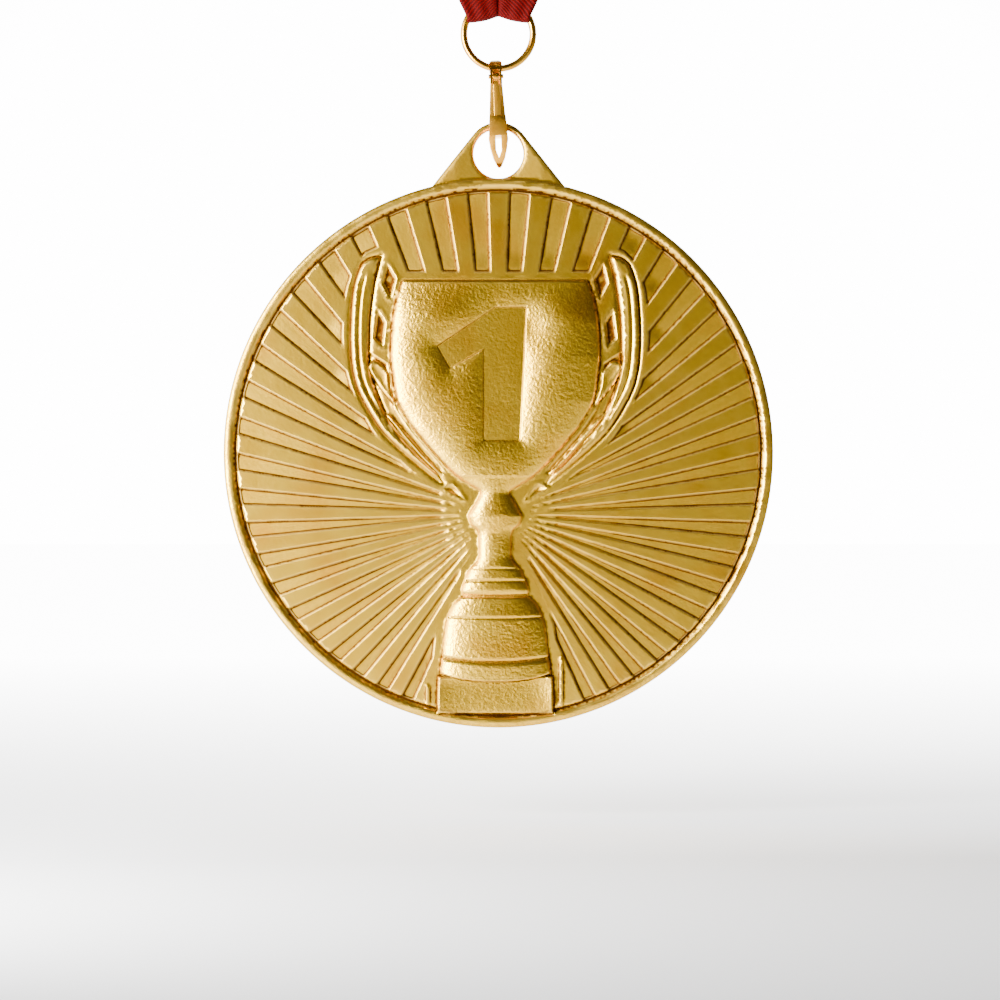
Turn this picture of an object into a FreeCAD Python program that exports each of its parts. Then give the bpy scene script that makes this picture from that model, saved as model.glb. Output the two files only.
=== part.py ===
import FreeCAD, Part
import math
import os
import Sketcher

# A prize medal on a neck ribbon, in millimetres, hanging upright.
# +Z is up, the medal's face looks along -Y, and +X is to the right of someone who looks at the face.
# The origin is the point of the peg or hook that the ribbon hangs on.
# Heights in the spreadsheet are measured up from the centre of the disc, as a die maker would give them.

os.makedirs("parts", exist_ok=True)
doc = FreeCAD.newDocument("medal")

# ---------------------------------------------------------------- driving dimensions
sheet = doc.addObject("Spreadsheet::Sheet", "Dims")
DIMENSIONS = {
    # where the disc's centre hangs, below the peg
    "disc_drop": 104.6,
    # the casting
    "disc_radius": 35.0,
    "disc_thickness": 3.0,
    "rim_width": 1.4,
    "field_thickness": 2.6,
    "label_radius": 25.0,
    "label_depth": 0.2,
    "ray_count": 48,
    "ray_depth": 0.35,
    "ray_half_angle": 1.6,
    "ray_centre_drop": 7.7,
    "ray_start": 2.2,
    "ray_reach": 42.0,
    "cup_thickness": 4.3,
    "handle_thickness": 3.1,
    "numeral_depth": 0.5,
    # the lug that is cast with the disc
    "lug_thickness": 2.0,
    "lug_radius": 4.0,
    "lug_hole_radius": 3.2,
    "lug_hole_height": 38.2,
    "lug_foot_half": 8.45,
    "lug_foot_height": 34.3,
    # round wire ring
    "ring_radius": 4.41,
    "ring_wire_radius": 0.44,
    "ring_height": 53.5,
    # folded sheet clip
    "clip_half_width": 1.2,
    "clip_top": 50.15,
    "clip_tip": 36.4,
    "crown_radius": 1.25,
    "crown_height": 40.05,
    "crown_half_depth": 1.45,
    "window_half_depth": 1.4,
    "window_top": 49.62,
    "slit_half_width": 0.35,
    "slit_bottom": 37.6,
    "slit_top": 40.35,
    "rivet_radius": 0.28,
    "rivet_half_length": 0.95,
    "rivet_height": 47.9,
    "rivet_front": 1.75,
    "gate_half_width": 0.42,
    "gate_thickness": 0.34,
    "gate_bottom": 42.4,
    "gate_eye_radius": 0.55,
    "gate_play": 0.02,
    # woven ribbon
    "ribbon_width": 15.0,
    "ribbon_lean": 29.0,
    "ribbon_half_thickness": 0.3,
    "notch_height": 79.3,
    "leg_bottom": 61.6,
    "fold_top": 60.5,
    "fold_bottom": 55.1,
    "fold_half_thickness": 1.1,
    "wire_room": 0.6,
    "hank_bottom": 105.0,
    "hank_half_length": 37.0,
    "hank_thickness": 4.0,
    "hank_end_radius": 1.6,
    "tie_half_width": 5.0,
    "tie_thickness": 0.4,
    "thread_thickness": 0.15,
    "stitch_height": 0.3,
    "mitre_stitch_length": 1.0,
    "bar_tack_stitch_length": 0.7,
    "bar_tack_height": 59.7,
}
for row, (alias, value) in enumerate(DIMENSIONS.items(), start=1):
    sheet.set(f"A{row}", alias)
    sheet.set(f"B{row}", str(value))
    sheet.setAlias(f"B{row}", alias)
doc.recompute()


def size(alias):
    """A driving dimension, read back from the sheet."""
    return float(sheet.get(alias))


DROP = size("disc_drop")
BACK = size("disc_thickness") / 2
CUP_OFFSET = -0.4  # the cup stands this far left of the disc's centre line


# ---------------------------------------------------------------- helpers
def new_body(label):
    """A body whose own origin is the disc's centre, hung below the peg."""
    body = doc.addObject("PartDesign::Body", label)
    body.Label = label
    body.setExpression(".Placement.Base.z", "-Dims.disc_drop")
    return body


def hang(thing, height, y=0.0, x=0.0, rotation=None):
    """Places a primitive at a height above the disc's centre."""
    thing.Placement = FreeCAD.Placement(
        FreeCAD.Vector(x, y, height - DROP), rotation or FreeCAD.Rotation()
    )


def new_sketch(body, role, name, along_normal=0.0, up=0.0):
    """A sketch on one of the body's origin planes, moved along its normal and up."""
    plane = next(f for f in body.Origin.OriginFeatures if f.Role == role)
    drawing = body.newObject("Sketcher::SketchObject", name)
    drawing.AttachmentSupport = (plane, [""])
    drawing.MapMode = "FlatFace"
    drawing.AttachmentOffset = FreeCAD.Placement(
        FreeCAD.Vector(0, up, along_normal), FreeCAD.Rotation()
    )
    return drawing


def outline(drawing, points):
    """Draws a closed run of straight edges through the points."""
    corners = [FreeCAD.Vector(x, y, 0) for x, y in points]
    for start, end in zip(corners, corners[1:] + corners[:1]):
        drawing.addGeometry(Part.LineSegment(start, end), False)


def smooth_run(drawing, points):
    """Draws one smooth curve through the points."""
    curve = Part.BSplineCurve()
    curve.interpolate([FreeCAD.Vector(x, y, 0) for x, y in points])
    drawing.addGeometry(curve, False)


def circle(drawing, radius_alias, x=0.0, y=0.0):
    """Draws a circle whose radius is bound to the sheet."""
    shape = Part.Circle(FreeCAD.Vector(x, y, 0), FreeCAD.Vector(0, 0, 1), size(radius_alias))
    edge = drawing.addGeometry(shape, False)
    number = drawing.addConstraint(Sketcher.Constraint("Radius", edge, size(radius_alias)))
    drawing.setExpression(f"Constraints[{number}]", f"Dims.{radius_alias}")


def pad(body, drawing, name, length):
    feature = body.newObject("PartDesign::Pad", name)
    feature.Profile = drawing
    feature.setExpression("Length", length)
    doc.recompute()
    return feature


def pocket(body, drawing, name, length=None):
    """Cuts against the sketch's normal: to a bound depth, or right through."""
    before = body.Shape.Volume
    feature = body.newObject("PartDesign::Pocket", name)
    feature.Profile = drawing
    if length is None:
        feature.Type = "ThroughAll"
    else:
        feature.setExpression("Length", length)
    doc.recompute()
    if not body.Shape.Volume < before - 1e-4:
        raise RuntimeError(f"{name} cut nothing")
    return feature


def mirrored(half):
    """A closed outline from its right half, top to bottom: right side down, then left side up."""
    return half + [(-x, y) for x, y in reversed(half) if x != 0]


# ---------------------------------------------------------------- medal_disc
def ground_half():
    """Right half of the flat ground that the cup and its handles stand on, from the top down."""
    return [
        (14.0, 22.9), (15.2, 26.0), (18.4, 24.6), (20.0, 20.6), (20.2, 14.0), (19.6, 9.0),
        (17.9, 4.9), (15.5, 1.6), (11.9, -1.9), (7.4, -5.3), (4.6, -7.0), (4.6, -8.8),
        (3.3, -10.2), (3.2, -13.2), (4.6, -14.5), (5.6, -17.3), (7.3, -20.5), (8.0, -26.0),
        (8.6, -28.0), (8.8, -33.2),
    ]


def cup_side():
    """Half-widths of the bowl from the lip down to the neck, with heights."""
    return [
        (11.75, 22.06), (13.1, 17.5), (13.4, 11.84), (12.6, 6.47), (10.5, 3.0), (7.2, -0.9), (3.4, -4.4),
    ]


def stem_side():
    """Half-widths of the stem and the stepped pedestal, from the neck down to the rim."""
    return [
        (1.9, -4.9), (3.5, -8.0), (2.3, -9.7), (2.15, -13.6), (3.4, -14.7), (3.5, -16.2),
        (4.4, -17.4), (4.3, -18.1), (6.15, -20.9), (6.8, -26.0), (7.1, -28.3), (7.4, -33.3),
    ]


def handle_edges(side):
    """The two long edges of one handle, a bow from beside the lip down to the neck. side is +1 or -1."""
    outer = [
        (15.1, 25.0), (17.9, 23.7), (19.0, 20.2), (19.1, 14.2), (18.6, 9.3), (16.9, 5.6),
        (14.7, 2.4), (11.3, -0.7), (7.1, -4.0),
    ]
    inner = [
        (8.4, -2.3), (11.9, 1.0), (14.3, 4.0), (16.0, 7.6), (16.9, 11.6), (17.2, 15.6),
        (17.0, 19.6), (16.3, 22.4),
    ]
    return [[(side * x + CUP_OFFSET, z) for x, z in edge] for edge in (outer, inner)]


medal = new_body("medal_disc")
blank_sketch = new_sketch(medal, "XZ_Plane", "blank_outline", along_normal=-BACK)
blank_radius = size("disc_radius") - size("rim_width") / 2
blank_sketch.addGeometry(Part.Circle(FreeCAD.Vector(), FreeCAD.Vector(0, 0, 1), blank_radius), False)
number = blank_sketch.addConstraint(Sketcher.Constraint("Radius", 0, blank_radius))
blank_sketch.setExpression(f"Constraints[{number}]", "Dims.disc_radius - Dims.rim_width / 2")
pad(medal, blank_sketch, "blank", "Dims.field_thickness")

# one groove of the sunburst, then all of them round the point where they meet
FIELD = size("field_thickness") - BACK
ray_sketch = new_sketch(
    medal, "XZ_Plane", "ray_outline", along_normal=FIELD, up=-size("ray_centre_drop")
)
first_ray = 180.0 / size("ray_count")
corners = []
for reach, turn in (("ray_start", -1), ("ray_reach", -1), ("ray_reach", 1), ("ray_start", 1)):
    angle = math.radians(90 + first_ray + turn * size("ray_half_angle"))
    corners.append((size(reach) * math.cos(angle), size(reach) * math.sin(angle)))
outline(ray_sketch, corners)
ray = pocket(medal, ray_sketch, "ray", "Dims.ray_depth")
rays = medal.newObject("PartDesign::PolarPattern", "rays")
rays.Originals = [ray]
rays.Axis = (ray_sketch, ["N_Axis"])
rays.Angle = 360
rays.setExpression("Occurrences", "Dims.ray_count")
medal.Tip = rays
doc.recompute()

ground_sketch = new_sketch(medal, "XZ_Plane", "ground_outline", along_normal=-BACK)
outline(ground_sketch, [(x + CUP_OFFSET, z) for x, z in mirrored(ground_half())])
pad(medal, ground_sketch, "ground", "Dims.field_thickness")

for side, word in ((-1, "left"), (1, "right")):
    handle_sketch = new_sketch(medal, "XZ_Plane", f"{word}_handle_outline", along_normal=-BACK)
    outer, inner = handle_edges(side)
    smooth_run(handle_sketch, outer)
    smooth_run(handle_sketch, inner)
    for start, end in ((outer[-1], inner[0]), (inner[-1], outer[0])):
        handle_sketch.addGeometry(
            Part.LineSegment(FreeCAD.Vector(*start, 0), FreeCAD.Vector(*end, 0)), False
        )
    pad(medal, handle_sketch, f"{word}_handle", "Dims.handle_thickness")

cup_sketch = new_sketch(medal, "XZ_Plane", "cup_outline", along_normal=-BACK)
bowl = [(x + CUP_OFFSET, z) for x, z in cup_side()]
bowl_left = [(CUP_OFFSET - x, z) for x, z in cup_side()]
stem = [(x + CUP_OFFSET, z) for x, z in stem_side()]
stem_left = [(CUP_OFFSET - x, z) for x, z in stem_side()]
smooth_run(cup_sketch, bowl)
smooth_run(cup_sketch, bowl_left)
straight_runs = (
    [bowl_left[0], bowl[0]], [bowl[-1], *stem], [bowl_left[-1], *stem_left], [stem[-1], stem_left[-1]],
)
for chain in straight_runs:
    for start, end in zip(chain, chain[1:]):
        cup_sketch.addGeometry(
            Part.LineSegment(FreeCAD.Vector(*start, 0), FreeCAD.Vector(*end, 0)), False
        )
pad(medal, cup_sketch, "cup", "Dims.cup_thickness")

# the numeral, sunk into the bowl
numeral_sketch = new_sketch(
    medal, "XZ_Plane", "numeral_outline", along_normal=size("cup_thickness") - BACK
)
outline(numeral_sketch, [
    (-0.4, 18.5), (3.5, 18.5), (2.7, 1.6), (-1.9, 1.6), (-1.9, 13.3), (-6.2, 10.8), (-7.8, 13.6),
])
pocket(medal, numeral_sketch, "numeral", "Dims.numeral_depth")

rim_sketch = new_sketch(medal, "XZ_Plane", "rim_outline", along_normal=-BACK)
circle(rim_sketch, "disc_radius")
rim_inner = size("disc_radius") - size("rim_width")
inner_edge = rim_sketch.addGeometry(
    Part.Circle(FreeCAD.Vector(), FreeCAD.Vector(0, 0, 1), rim_inner), False
)
number = rim_sketch.addConstraint(Sketcher.Constraint("Radius", inner_edge, rim_inner))
rim_sketch.setExpression(f"Constraints[{number}]", "Dims.disc_radius - Dims.rim_width")
pad(medal, rim_sketch, "rim", "Dims.disc_thickness")

# the lug: two straight flanks that run tangent into a round head
lug_sketch = new_sketch(medal, "XZ_Plane", "lug_outline", along_normal=-size("lug_thickness") / 2)
head = FreeCAD.Vector(0, size("lug_hole_height"), 0)
foot = FreeCAD.Vector(size("lug_foot_half"), size("lug_foot_height"), 0)
to_foot = foot - head
flank = math.atan2(to_foot.y, to_foot.x) + math.acos(size("lug_radius") / to_foot.Length)
touch = head + FreeCAD.Vector(math.cos(flank), math.sin(flank), 0) * size("lug_radius")
sunk_foot = FreeCAD.Vector(foot.x, blank_radius - 2.5, 0)



def left(point):
    """The same place on the lug's left side."""
    return FreeCAD.Vector(-point.x, point.y, 0)


for start, end in (
    (left(touch), left(foot)), (left(foot), left(sunk_foot)), (left(sunk_foot), sunk_foot),
    (sunk_foot, foot), (foot, touch),
):
    lug_sketch.addGeometry(Part.LineSegment(start, end), False)
lug_circle = Part.Circle(head, FreeCAD.Vector(0, 0, 1), size("lug_radius"))
lug_sketch.addGeometry(Part.ArcOfCircle(lug_circle, flank, math.pi - flank), False)
pad(medal, lug_sketch, "lug", "Dims.lug_thickness")
hole_sketch = new_sketch(medal, "XZ_Plane", "lug_hole_outline", along_normal=BACK + 1)
circle(hole_sketch, "lug_hole_radius", y=size("lug_hole_height"))
pocket(medal, hole_sketch, "lug_hole")

# the shallow round sinking in the back, where an engraved label goes
label_sketch = new_sketch(medal, "XZ_Plane", "label_outline", along_normal=-BACK)
circle(label_sketch, "label_radius")
before = medal.Shape.Volume
label = medal.newObject("PartDesign::Pocket", "label_sinking")
label.Profile = label_sketch
label.Reversed = True
label.setExpression("Length", "Dims.label_depth")
doc.recompute()
if not medal.Shape.Volume < before - 1:
    raise RuntimeError("the label sinking cut nothing")

# ---------------------------------------------------------------- ring
ring = doc.addObject("Part::Torus", "ring")
ring.setExpression("Radius1", "Dims.ring_radius")
ring.setExpression("Radius2", "Dims.ring_wire_radius")
hang(ring, size("ring_height"), rotation=FreeCAD.Rotation(FreeCAD.Vector(1, 0, 0), 90))
ring.setExpression(".Placement.Base.z", "Dims.ring_height - Dims.disc_drop")


# ---------------------------------------------------------------- clip_body
def clip_front_half():
    """Right half of the clip as seen from the front: knob, narrow neck, swelling and pointed tip."""
    wide = size("clip_half_width")
    return [
        (0.45, size("clip_top")), (0.8, 49.75), (0.82, 49.0), (0.72, 48.4), (0.82, 46.0),
        (0.98, 43.5), (wide - 0.08, 42.0), (wide, 40.3), (wide - 0.1, 39.0), (0.75, 37.6),
        (0.3, 36.6), (0.12, size("clip_tip")),
    ]


def clip_profile():
    """The clip from the side, as (y, height): round head, straight back and deep pointed nose."""
    return [
        (0.0, size("clip_top")), (1.1, 49.9), (1.9, 49.2), (2.3, 48.2), (2.45, 46.0), (2.5, 42.5),
        (2.3, 40.4), (1.7, 38.4), (0.9, 36.9), (0.3, size("clip_tip")), (-0.3, size("clip_tip")),
        (-0.9, 36.9), (-1.7, 38.4), (-2.3, 40.4), (-2.5, 42.2), (-2.5, 46.0), (-2.35, 48.2),
        (-1.9, 49.2), (-1.1, 49.9),
    ]


clip = new_body("clip_body")
far = 5.0  # outside the clip on every side, where its cuts start
profile_sketch = new_sketch(
    clip, "YZ_Plane", "side_profile", along_normal=-size("clip_half_width")
)
outline(profile_sketch, clip_profile())
pad(clip, profile_sketch, "folded_sheet", "2 * Dims.clip_half_width")

front_sketch = new_sketch(clip, "XZ_Plane", "front_outline", along_normal=far)
outline(front_sketch, [(-far, 55), (far, 55), (far, 30), (-far, 30)])
outline(front_sketch, mirrored(clip_front_half()))
pocket(clip, front_sketch, "front_trim")

# the window that the ring and the lug pass through, open to the front below the rivet's ears
depth = size("window_half_depth")
top = size("window_top")
nose = size("crown_height")
window_sketch = new_sketch(clip, "YZ_Plane", "window_outline", along_normal=far)
outline(window_sketch, [
    (-0.55, top), (0.55, top), (1.05, 49.2), (depth, 48.4), (depth, nose), (-depth, nose),
    (-2.02, 41.4), (-2.02, 42.85), (-3.5, 42.85), (-3.5, 46.9), (-1.15, 46.9), (-1.05, 49.2),
])
pocket(clip, window_sketch, "window")

# the rounded saddle that the lug hangs on
crown_sketch = new_sketch(
    clip, "XZ_Plane", "crown_outline", along_normal=-size("crown_half_depth")
)
circle(crown_sketch, "crown_radius", y=size("crown_height"))
pad(clip, crown_sketch, "crown", "2 * Dims.crown_half_depth")

# the gap between the two side plates in the nose
half = size("slit_half_width")
slit_sketch = new_sketch(clip, "XZ_Plane", "slit_outline", along_normal=far)
outline(slit_sketch, [
    (0, size("slit_bottom")), (half, size("slit_bottom") + 0.9), (half, size("slit_top")),
    (-half, size("slit_top")), (-half, size("slit_bottom") + 0.9),
])
pocket(clip, slit_sketch, "slit")

# the slot between the two ears, for the gate's eye
ear_slot_sketch = new_sketch(clip, "XZ_Plane", "ear_slot_outline", along_normal=far)
slot_half = size("gate_half_width") + 0.06
outline(ear_slot_sketch, [
    (-slot_half, 46.5), (slot_half, 46.5), (slot_half, 48.75), (-slot_half, 48.75),
])
pocket(clip, ear_slot_sketch, "ear_slot", f"{far - 1.08} mm")

rivet_hole_sketch = new_sketch(clip, "YZ_Plane", "rivet_hole_outline", along_normal=far)
circle(rivet_hole_sketch, "rivet_radius", x=-size("rivet_front"), y=size("rivet_height"))
pocket(clip, rivet_hole_sketch, "rivet_hole")

# ---------------------------------------------------------------- clip_rivet
rivet = doc.addObject("Part::Cylinder", "clip_rivet")
rivet.setExpression("Radius", "Dims.rivet_radius")
rivet.setExpression("Height", "2 * Dims.rivet_half_length")
hang(
    rivet, size("rivet_height"), y=-size("rivet_front"), x=-size("rivet_half_length"),
    rotation=FreeCAD.Rotation(FreeCAD.Vector(0, 1, 0), 90),
)

# ---------------------------------------------------------------- clip_gate
gate = new_body("clip_gate")
gate_sketch = new_sketch(gate, "YZ_Plane", "leaf_outline", along_normal=-size("gate_half_width"))
leaf_back = -size("rivet_front") + size("gate_thickness") / 2
leaf_front = leaf_back - size("gate_thickness")
outline(gate_sketch, [
    (leaf_front, size("gate_bottom")), (leaf_back, size("gate_bottom")),
    (leaf_back, size("rivet_height")), (leaf_front, size("rivet_height")),
])
pad(gate, gate_sketch, "leaf", "2 * Dims.gate_half_width")
eye_sketch = new_sketch(gate, "YZ_Plane", "eye_outline", along_normal=-size("gate_half_width"))
circle(eye_sketch, "gate_eye_radius", x=-size("rivet_front"), y=size("rivet_height"))
pad(gate, eye_sketch, "eye", "2 * Dims.gate_half_width")
gate_hole_sketch = new_sketch(gate, "YZ_Plane", "gate_hole_outline", along_normal=far)
gate_hole = size("rivet_radius") + size("gate_play")
gate_hole_sketch.addGeometry(Part.Circle(
    FreeCAD.Vector(-size("rivet_front"), size("rivet_height"), 0), FreeCAD.Vector(0, 0, 1), gate_hole
), False)
number = gate_hole_sketch.addConstraint(Sketcher.Constraint("Radius", 0, gate_hole))
gate_hole_sketch.setExpression(f"Constraints[{number}]", "Dims.rivet_radius + Dims.gate_play")
pocket(gate, gate_hole_sketch, "gate_hole")

# ---------------------------------------------------------------- ribbon legs
SLOPE = math.tan(math.radians(size("ribbon_lean")))
ACROSS = size("ribbon_width") / math.cos(math.radians(size("ribbon_lean")))
HANK_TOP = size("hank_bottom") + size("ribbon_width")


def leg_outline():
    """The right leg: seam at x = 0, outer edge, diagonal fold at the top, inner edge to the notch."""
    climb = size("hank_bottom") - size("notch_height")
    outer_at_hank = climb * SLOPE + ACROSS
    inner_at_top = (HANK_TOP - size("notch_height")) * SLOPE
    outer_at_bottom = ACROSS - (size("notch_height") - size("leg_bottom")) * SLOPE
    return [
        (0, size("leg_bottom")), (outer_at_bottom, size("leg_bottom")),
        (outer_at_hank, size("hank_bottom")), (inner_at_top, HANK_TOP), (0, size("notch_height")),
    ]


for side, word in ((-1, "left"), (1, "right")):
    leg = new_body(f"ribbon_{word}_leg")
    leg_sketch = new_sketch(
        leg, "XZ_Plane", f"{word}_leg_outline", along_normal=-size("ribbon_half_thickness")
    )
    outline(leg_sketch, [(side * x, z) for x, z in leg_outline()])
    pad(leg, leg_sketch, f"{word}_strip", "2 * Dims.ribbon_half_thickness")

# ---------------------------------------------------------------- ribbon_ring_fold
fold = new_body("ribbon_ring_fold")
fold_sketch = new_sketch(
    fold, "XZ_Plane", "fold_outline", along_normal=-size("fold_half_thickness")
)
outline(fold_sketch, mirrored([
    (6.3, size("fold_top")), (5.4, 58.9), (4.6, 57.5), (3.9, size("fold_bottom")),
]))
pad(fold, fold_sketch, "gathered_strip", "2 * Dims.fold_half_thickness")
wire_sketch = new_sketch(fold, "XZ_Plane", "wire_room_outline", along_normal=size("wire_room"))
ring_top = size("ring_height") + size("ring_radius") + size("ring_wire_radius")
web_half, web_top, below = 2.6, 56.2, size("fold_bottom") - 1
outline(wire_sketch, mirrored([
    (far + 2, ring_top + 0.3), (far + 2, below), (web_half, below), (web_half, web_top),
]))
pocket(fold, wire_sketch, "wire_room", "2 * Dims.wire_room")

# ---------------------------------------------------------------- ribbon_folded_length and its tie
hank = new_body("ribbon_folded_length")
hank_sketch = new_sketch(hank, "XY_Plane", "hank_section", along_normal=size("hank_bottom"))
hank_front = size("ribbon_half_thickness")
hank_back = hank_front + size("hank_thickness")
outline(hank_sketch, [
    (-size("hank_half_length"), hank_front), (size("hank_half_length"), hank_front),
    (size("hank_half_length"), hank_back), (-size("hank_half_length"), hank_back),
])
hank_pad = pad(hank, hank_sketch, "runs", "Dims.ribbon_width")
upright = [
    f"Edge{i}" for i, edge in enumerate(hank_pad.Shape.Edges, start=1)
    if abs(edge.Vertexes[0].Z - edge.Vertexes[1].Z) > 1
]
ends = hank.newObject("PartDesign::Fillet", "rounded_ends")
ends.Base = (hank_pad, upright)
ends.setExpression("Radius", "Dims.hank_end_radius")
doc.recompute()

tie = new_body("ribbon_tie")
tie_sketch = new_sketch(tie, "YZ_Plane", "tie_section", along_normal=-size("tie_half_width"))
wrap = size("tie_thickness")
for grow in (wrap, 0.0):
    outline(tie_sketch, [
        (hank_front - grow, size("hank_bottom") - grow), (hank_back + grow, size("hank_bottom") - grow),
        (hank_back + grow, HANK_TOP + grow), (hank_front - grow, HANK_TOP + grow),
    ])
pad(tie, tie_sketch, "band", "2 * Dims.tie_half_width")


# ---------------------------------------------------------------- threads
def stitches(label, places, length, y):
    """A group of flat stitches, each a separate solid that lies on the ribbon."""
    thick, tall = size("thread_thickness"), size("stitch_height")
    solids = [
        Part.makeBox(length, thick, tall, FreeCAD.Vector(x - length / 2, y, z - tall / 2))
        for x, z in places
    ]
    thread = doc.addObject("Part::Feature", label)
    thread.Shape = Part.makeCompound(solids)
    hang(thread, 0.0)


seam_low, seam_high, seam_count = size("leg_bottom") + 1.0, size("notch_height") - 1.0, 12
seam_step = (seam_high - seam_low) / (seam_count - 1)
seam_places = [(0.0, seam_low + i * seam_step) for i in range(seam_count)]
stitches(
    "mitre_stitches", seam_places, size("mitre_stitch_length"), size("ribbon_half_thickness")
)
TACK_COUNT, TACK_PITCH = 9, 1.1
tack_places = [
    ((i - (TACK_COUNT - 1) / 2) * TACK_PITCH, size("bar_tack_height")) for i in range(TACK_COUNT)
]
stitches(
    "bar_tack_stitches", tack_places, size("bar_tack_stitch_length"),
    -size("fold_half_thickness") - size("thread_thickness"),
)

# ---------------------------------------------------------------- checks and files
doc.recompute()
for thing in doc.Objects:
    if "Invalid" in thing.State or "Error" in thing.State:
        raise RuntimeError(f"{thing.Label} failed: {thing.State}")
NODES = [
    "medal_disc", "ring", "clip_body", "clip_rivet", "clip_gate", "ribbon_left_leg",
    "ribbon_right_leg", "ribbon_ring_fold", "ribbon_folded_length", "ribbon_tie",
    "mitre_stitches", "bar_tack_stitches",
]
for node in NODES:
    shape = doc.getObjectsByLabel(node)[0].Shape
    if shape.isNull() or not shape.isValid():
        raise RuntimeError(f"{node} has no valid shape")
    shape.exportStep(f"parts/{node}.step")
    box = shape.BoundBox
    print(f"{node:22s} solids {len(shape.Solids):3d}  volume {shape.Volume:9.2f} mm3")
    print(f"    x {box.XMin:7.2f} {box.XMax:7.2f}  y {box.YMin:6.2f} {box.YMax:6.2f}")
    print(f"    z {box.ZMin:8.2f} {box.ZMax:8.2f}")
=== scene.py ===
# %% [markdown]
# # A prize medal on a neck ribbon
# The imported CAD model gives every piece its place and its moving body. This script gives the pieces their looks:
# a cast and struck disc, gold-plated wire and sheet, and a woven red ribbon. We load the frame first, because
# every size below is worked out from it.

# %% Load the frame
import math

import bmesh
import bpy
import numpy as np
from mathutils import Matrix, Vector, noise
from mathutils.geometry import delaunay_2d_cdt


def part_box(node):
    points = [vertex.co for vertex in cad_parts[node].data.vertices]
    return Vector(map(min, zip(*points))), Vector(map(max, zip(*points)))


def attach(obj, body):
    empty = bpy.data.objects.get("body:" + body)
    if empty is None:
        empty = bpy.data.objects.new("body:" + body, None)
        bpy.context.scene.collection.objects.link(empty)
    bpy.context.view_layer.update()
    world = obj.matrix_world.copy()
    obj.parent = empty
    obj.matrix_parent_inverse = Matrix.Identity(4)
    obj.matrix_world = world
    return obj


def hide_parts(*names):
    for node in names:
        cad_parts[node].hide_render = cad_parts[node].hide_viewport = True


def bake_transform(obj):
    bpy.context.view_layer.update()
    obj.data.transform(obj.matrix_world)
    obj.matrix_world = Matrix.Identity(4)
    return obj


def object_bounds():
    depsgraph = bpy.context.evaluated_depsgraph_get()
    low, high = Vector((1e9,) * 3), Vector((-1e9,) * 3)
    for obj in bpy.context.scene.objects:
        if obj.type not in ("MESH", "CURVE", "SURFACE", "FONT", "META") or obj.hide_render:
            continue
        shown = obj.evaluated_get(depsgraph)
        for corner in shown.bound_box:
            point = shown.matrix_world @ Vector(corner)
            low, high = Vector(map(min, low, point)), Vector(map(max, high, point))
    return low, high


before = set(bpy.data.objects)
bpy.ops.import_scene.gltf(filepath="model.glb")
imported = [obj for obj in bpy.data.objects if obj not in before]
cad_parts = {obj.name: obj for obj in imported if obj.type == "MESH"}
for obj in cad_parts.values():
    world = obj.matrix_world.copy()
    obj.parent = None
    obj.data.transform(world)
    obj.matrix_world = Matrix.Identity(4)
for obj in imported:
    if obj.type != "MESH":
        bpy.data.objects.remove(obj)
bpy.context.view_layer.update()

MM = 0.001
disc_low, disc_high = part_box("medal_disc")
RADIUS = (disc_high.x - disc_low.x) / 2 / MM
CENTRE_Z = disc_low.z / MM + RADIUS
BACK = disc_high.y / MM
print(f"disc radius {RADIUS:.2f} mm, centre {CENTRE_Z:.2f} mm below the peg, back face at {BACK:.2f} mm")

# %% [markdown]
# ## The camera
# The medal is seen square on through a long lens, from far enough that its edge doesn't show, with the top of the
# picture just above the ring. The picture is 127.7 mm wide at the medal.

# %% Camera
VIEW_WIDTH, AIM = 0.1277, Vector((0.0002, 0, -0.1106))
LENS, SENSOR = 135.0, 36.0
lens = bpy.data.cameras.new("camera")
lens.lens, lens.sensor_width = LENS, SENSOR
lens.clip_start, lens.clip_end = 0.01, 20
camera = bpy.data.objects.new("camera", lens)
bpy.context.scene.collection.objects.link(camera)
camera.location = AIM + Vector((0, -VIEW_WIDTH * LENS / SENSOR, 0))
camera.rotation_euler = (math.pi / 2, 0, 0)
bpy.context.scene.camera = camera

# %% [markdown]
# ## Working in the medal's own plane
# A die maker draws a medal flat, in millimetres from the centre of the disc: x to the right and z up. The relief
# is a height for every point of that drawing. Two small helpers do most of the work: one rounds a run of corners
# into a curve, the other measures how far each point is from a drawn line, counted negative inside a closed one.

# %% Curves and distances
def curve(points, step=0.35, closed=False):
    """A smooth run through the points (Catmull-Rom), with a point about every step."""
    p = np.array(points, float)
    before = np.vstack([p[-1:] if closed else 2 * p[:1] - p[1:2], p, p[:2] if closed else 2 * p[-1:] - p[-2:-1]])
    out = []
    for i in range(len(p) if closed else len(p) - 1):
        a, b, c, d = before[i:i + 4]
        n = max(2, int(np.linalg.norm(c - b) / step))
        t = (np.arange(n) / n)[:, None]
        out.append(0.5 * (2 * b + (c - a) * t + (2 * a - 5 * b + 4 * c - d) * t**2
                          + (3 * b - a - 3 * c + d) * t**3))
    if not closed:
        out.append(p[-1:])
    return np.vstack(out)


def straight(points, step=0.35, closed=True):
    """The same for straight edges: corners stay, and long edges are divided."""
    p = np.array(points, float)
    ends = np.roll(p, -1, axis=0) if closed else p[1:]
    out = []
    for a, b in zip(p, ends):
        n = max(1, int(round(np.linalg.norm(b - a) / step)))
        out.append(a + (b - a) * (np.arange(n) / n)[:, None])
    if not closed:
        out.append(p[-1:])
    return np.vstack(out)


FAR = 99.0


def near_box(at, line, reach):
    """Which points are within reach of the line's bounding box."""
    return np.all((at > line.min(axis=0) - reach) & (at < line.max(axis=0) + reach), axis=1)


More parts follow.
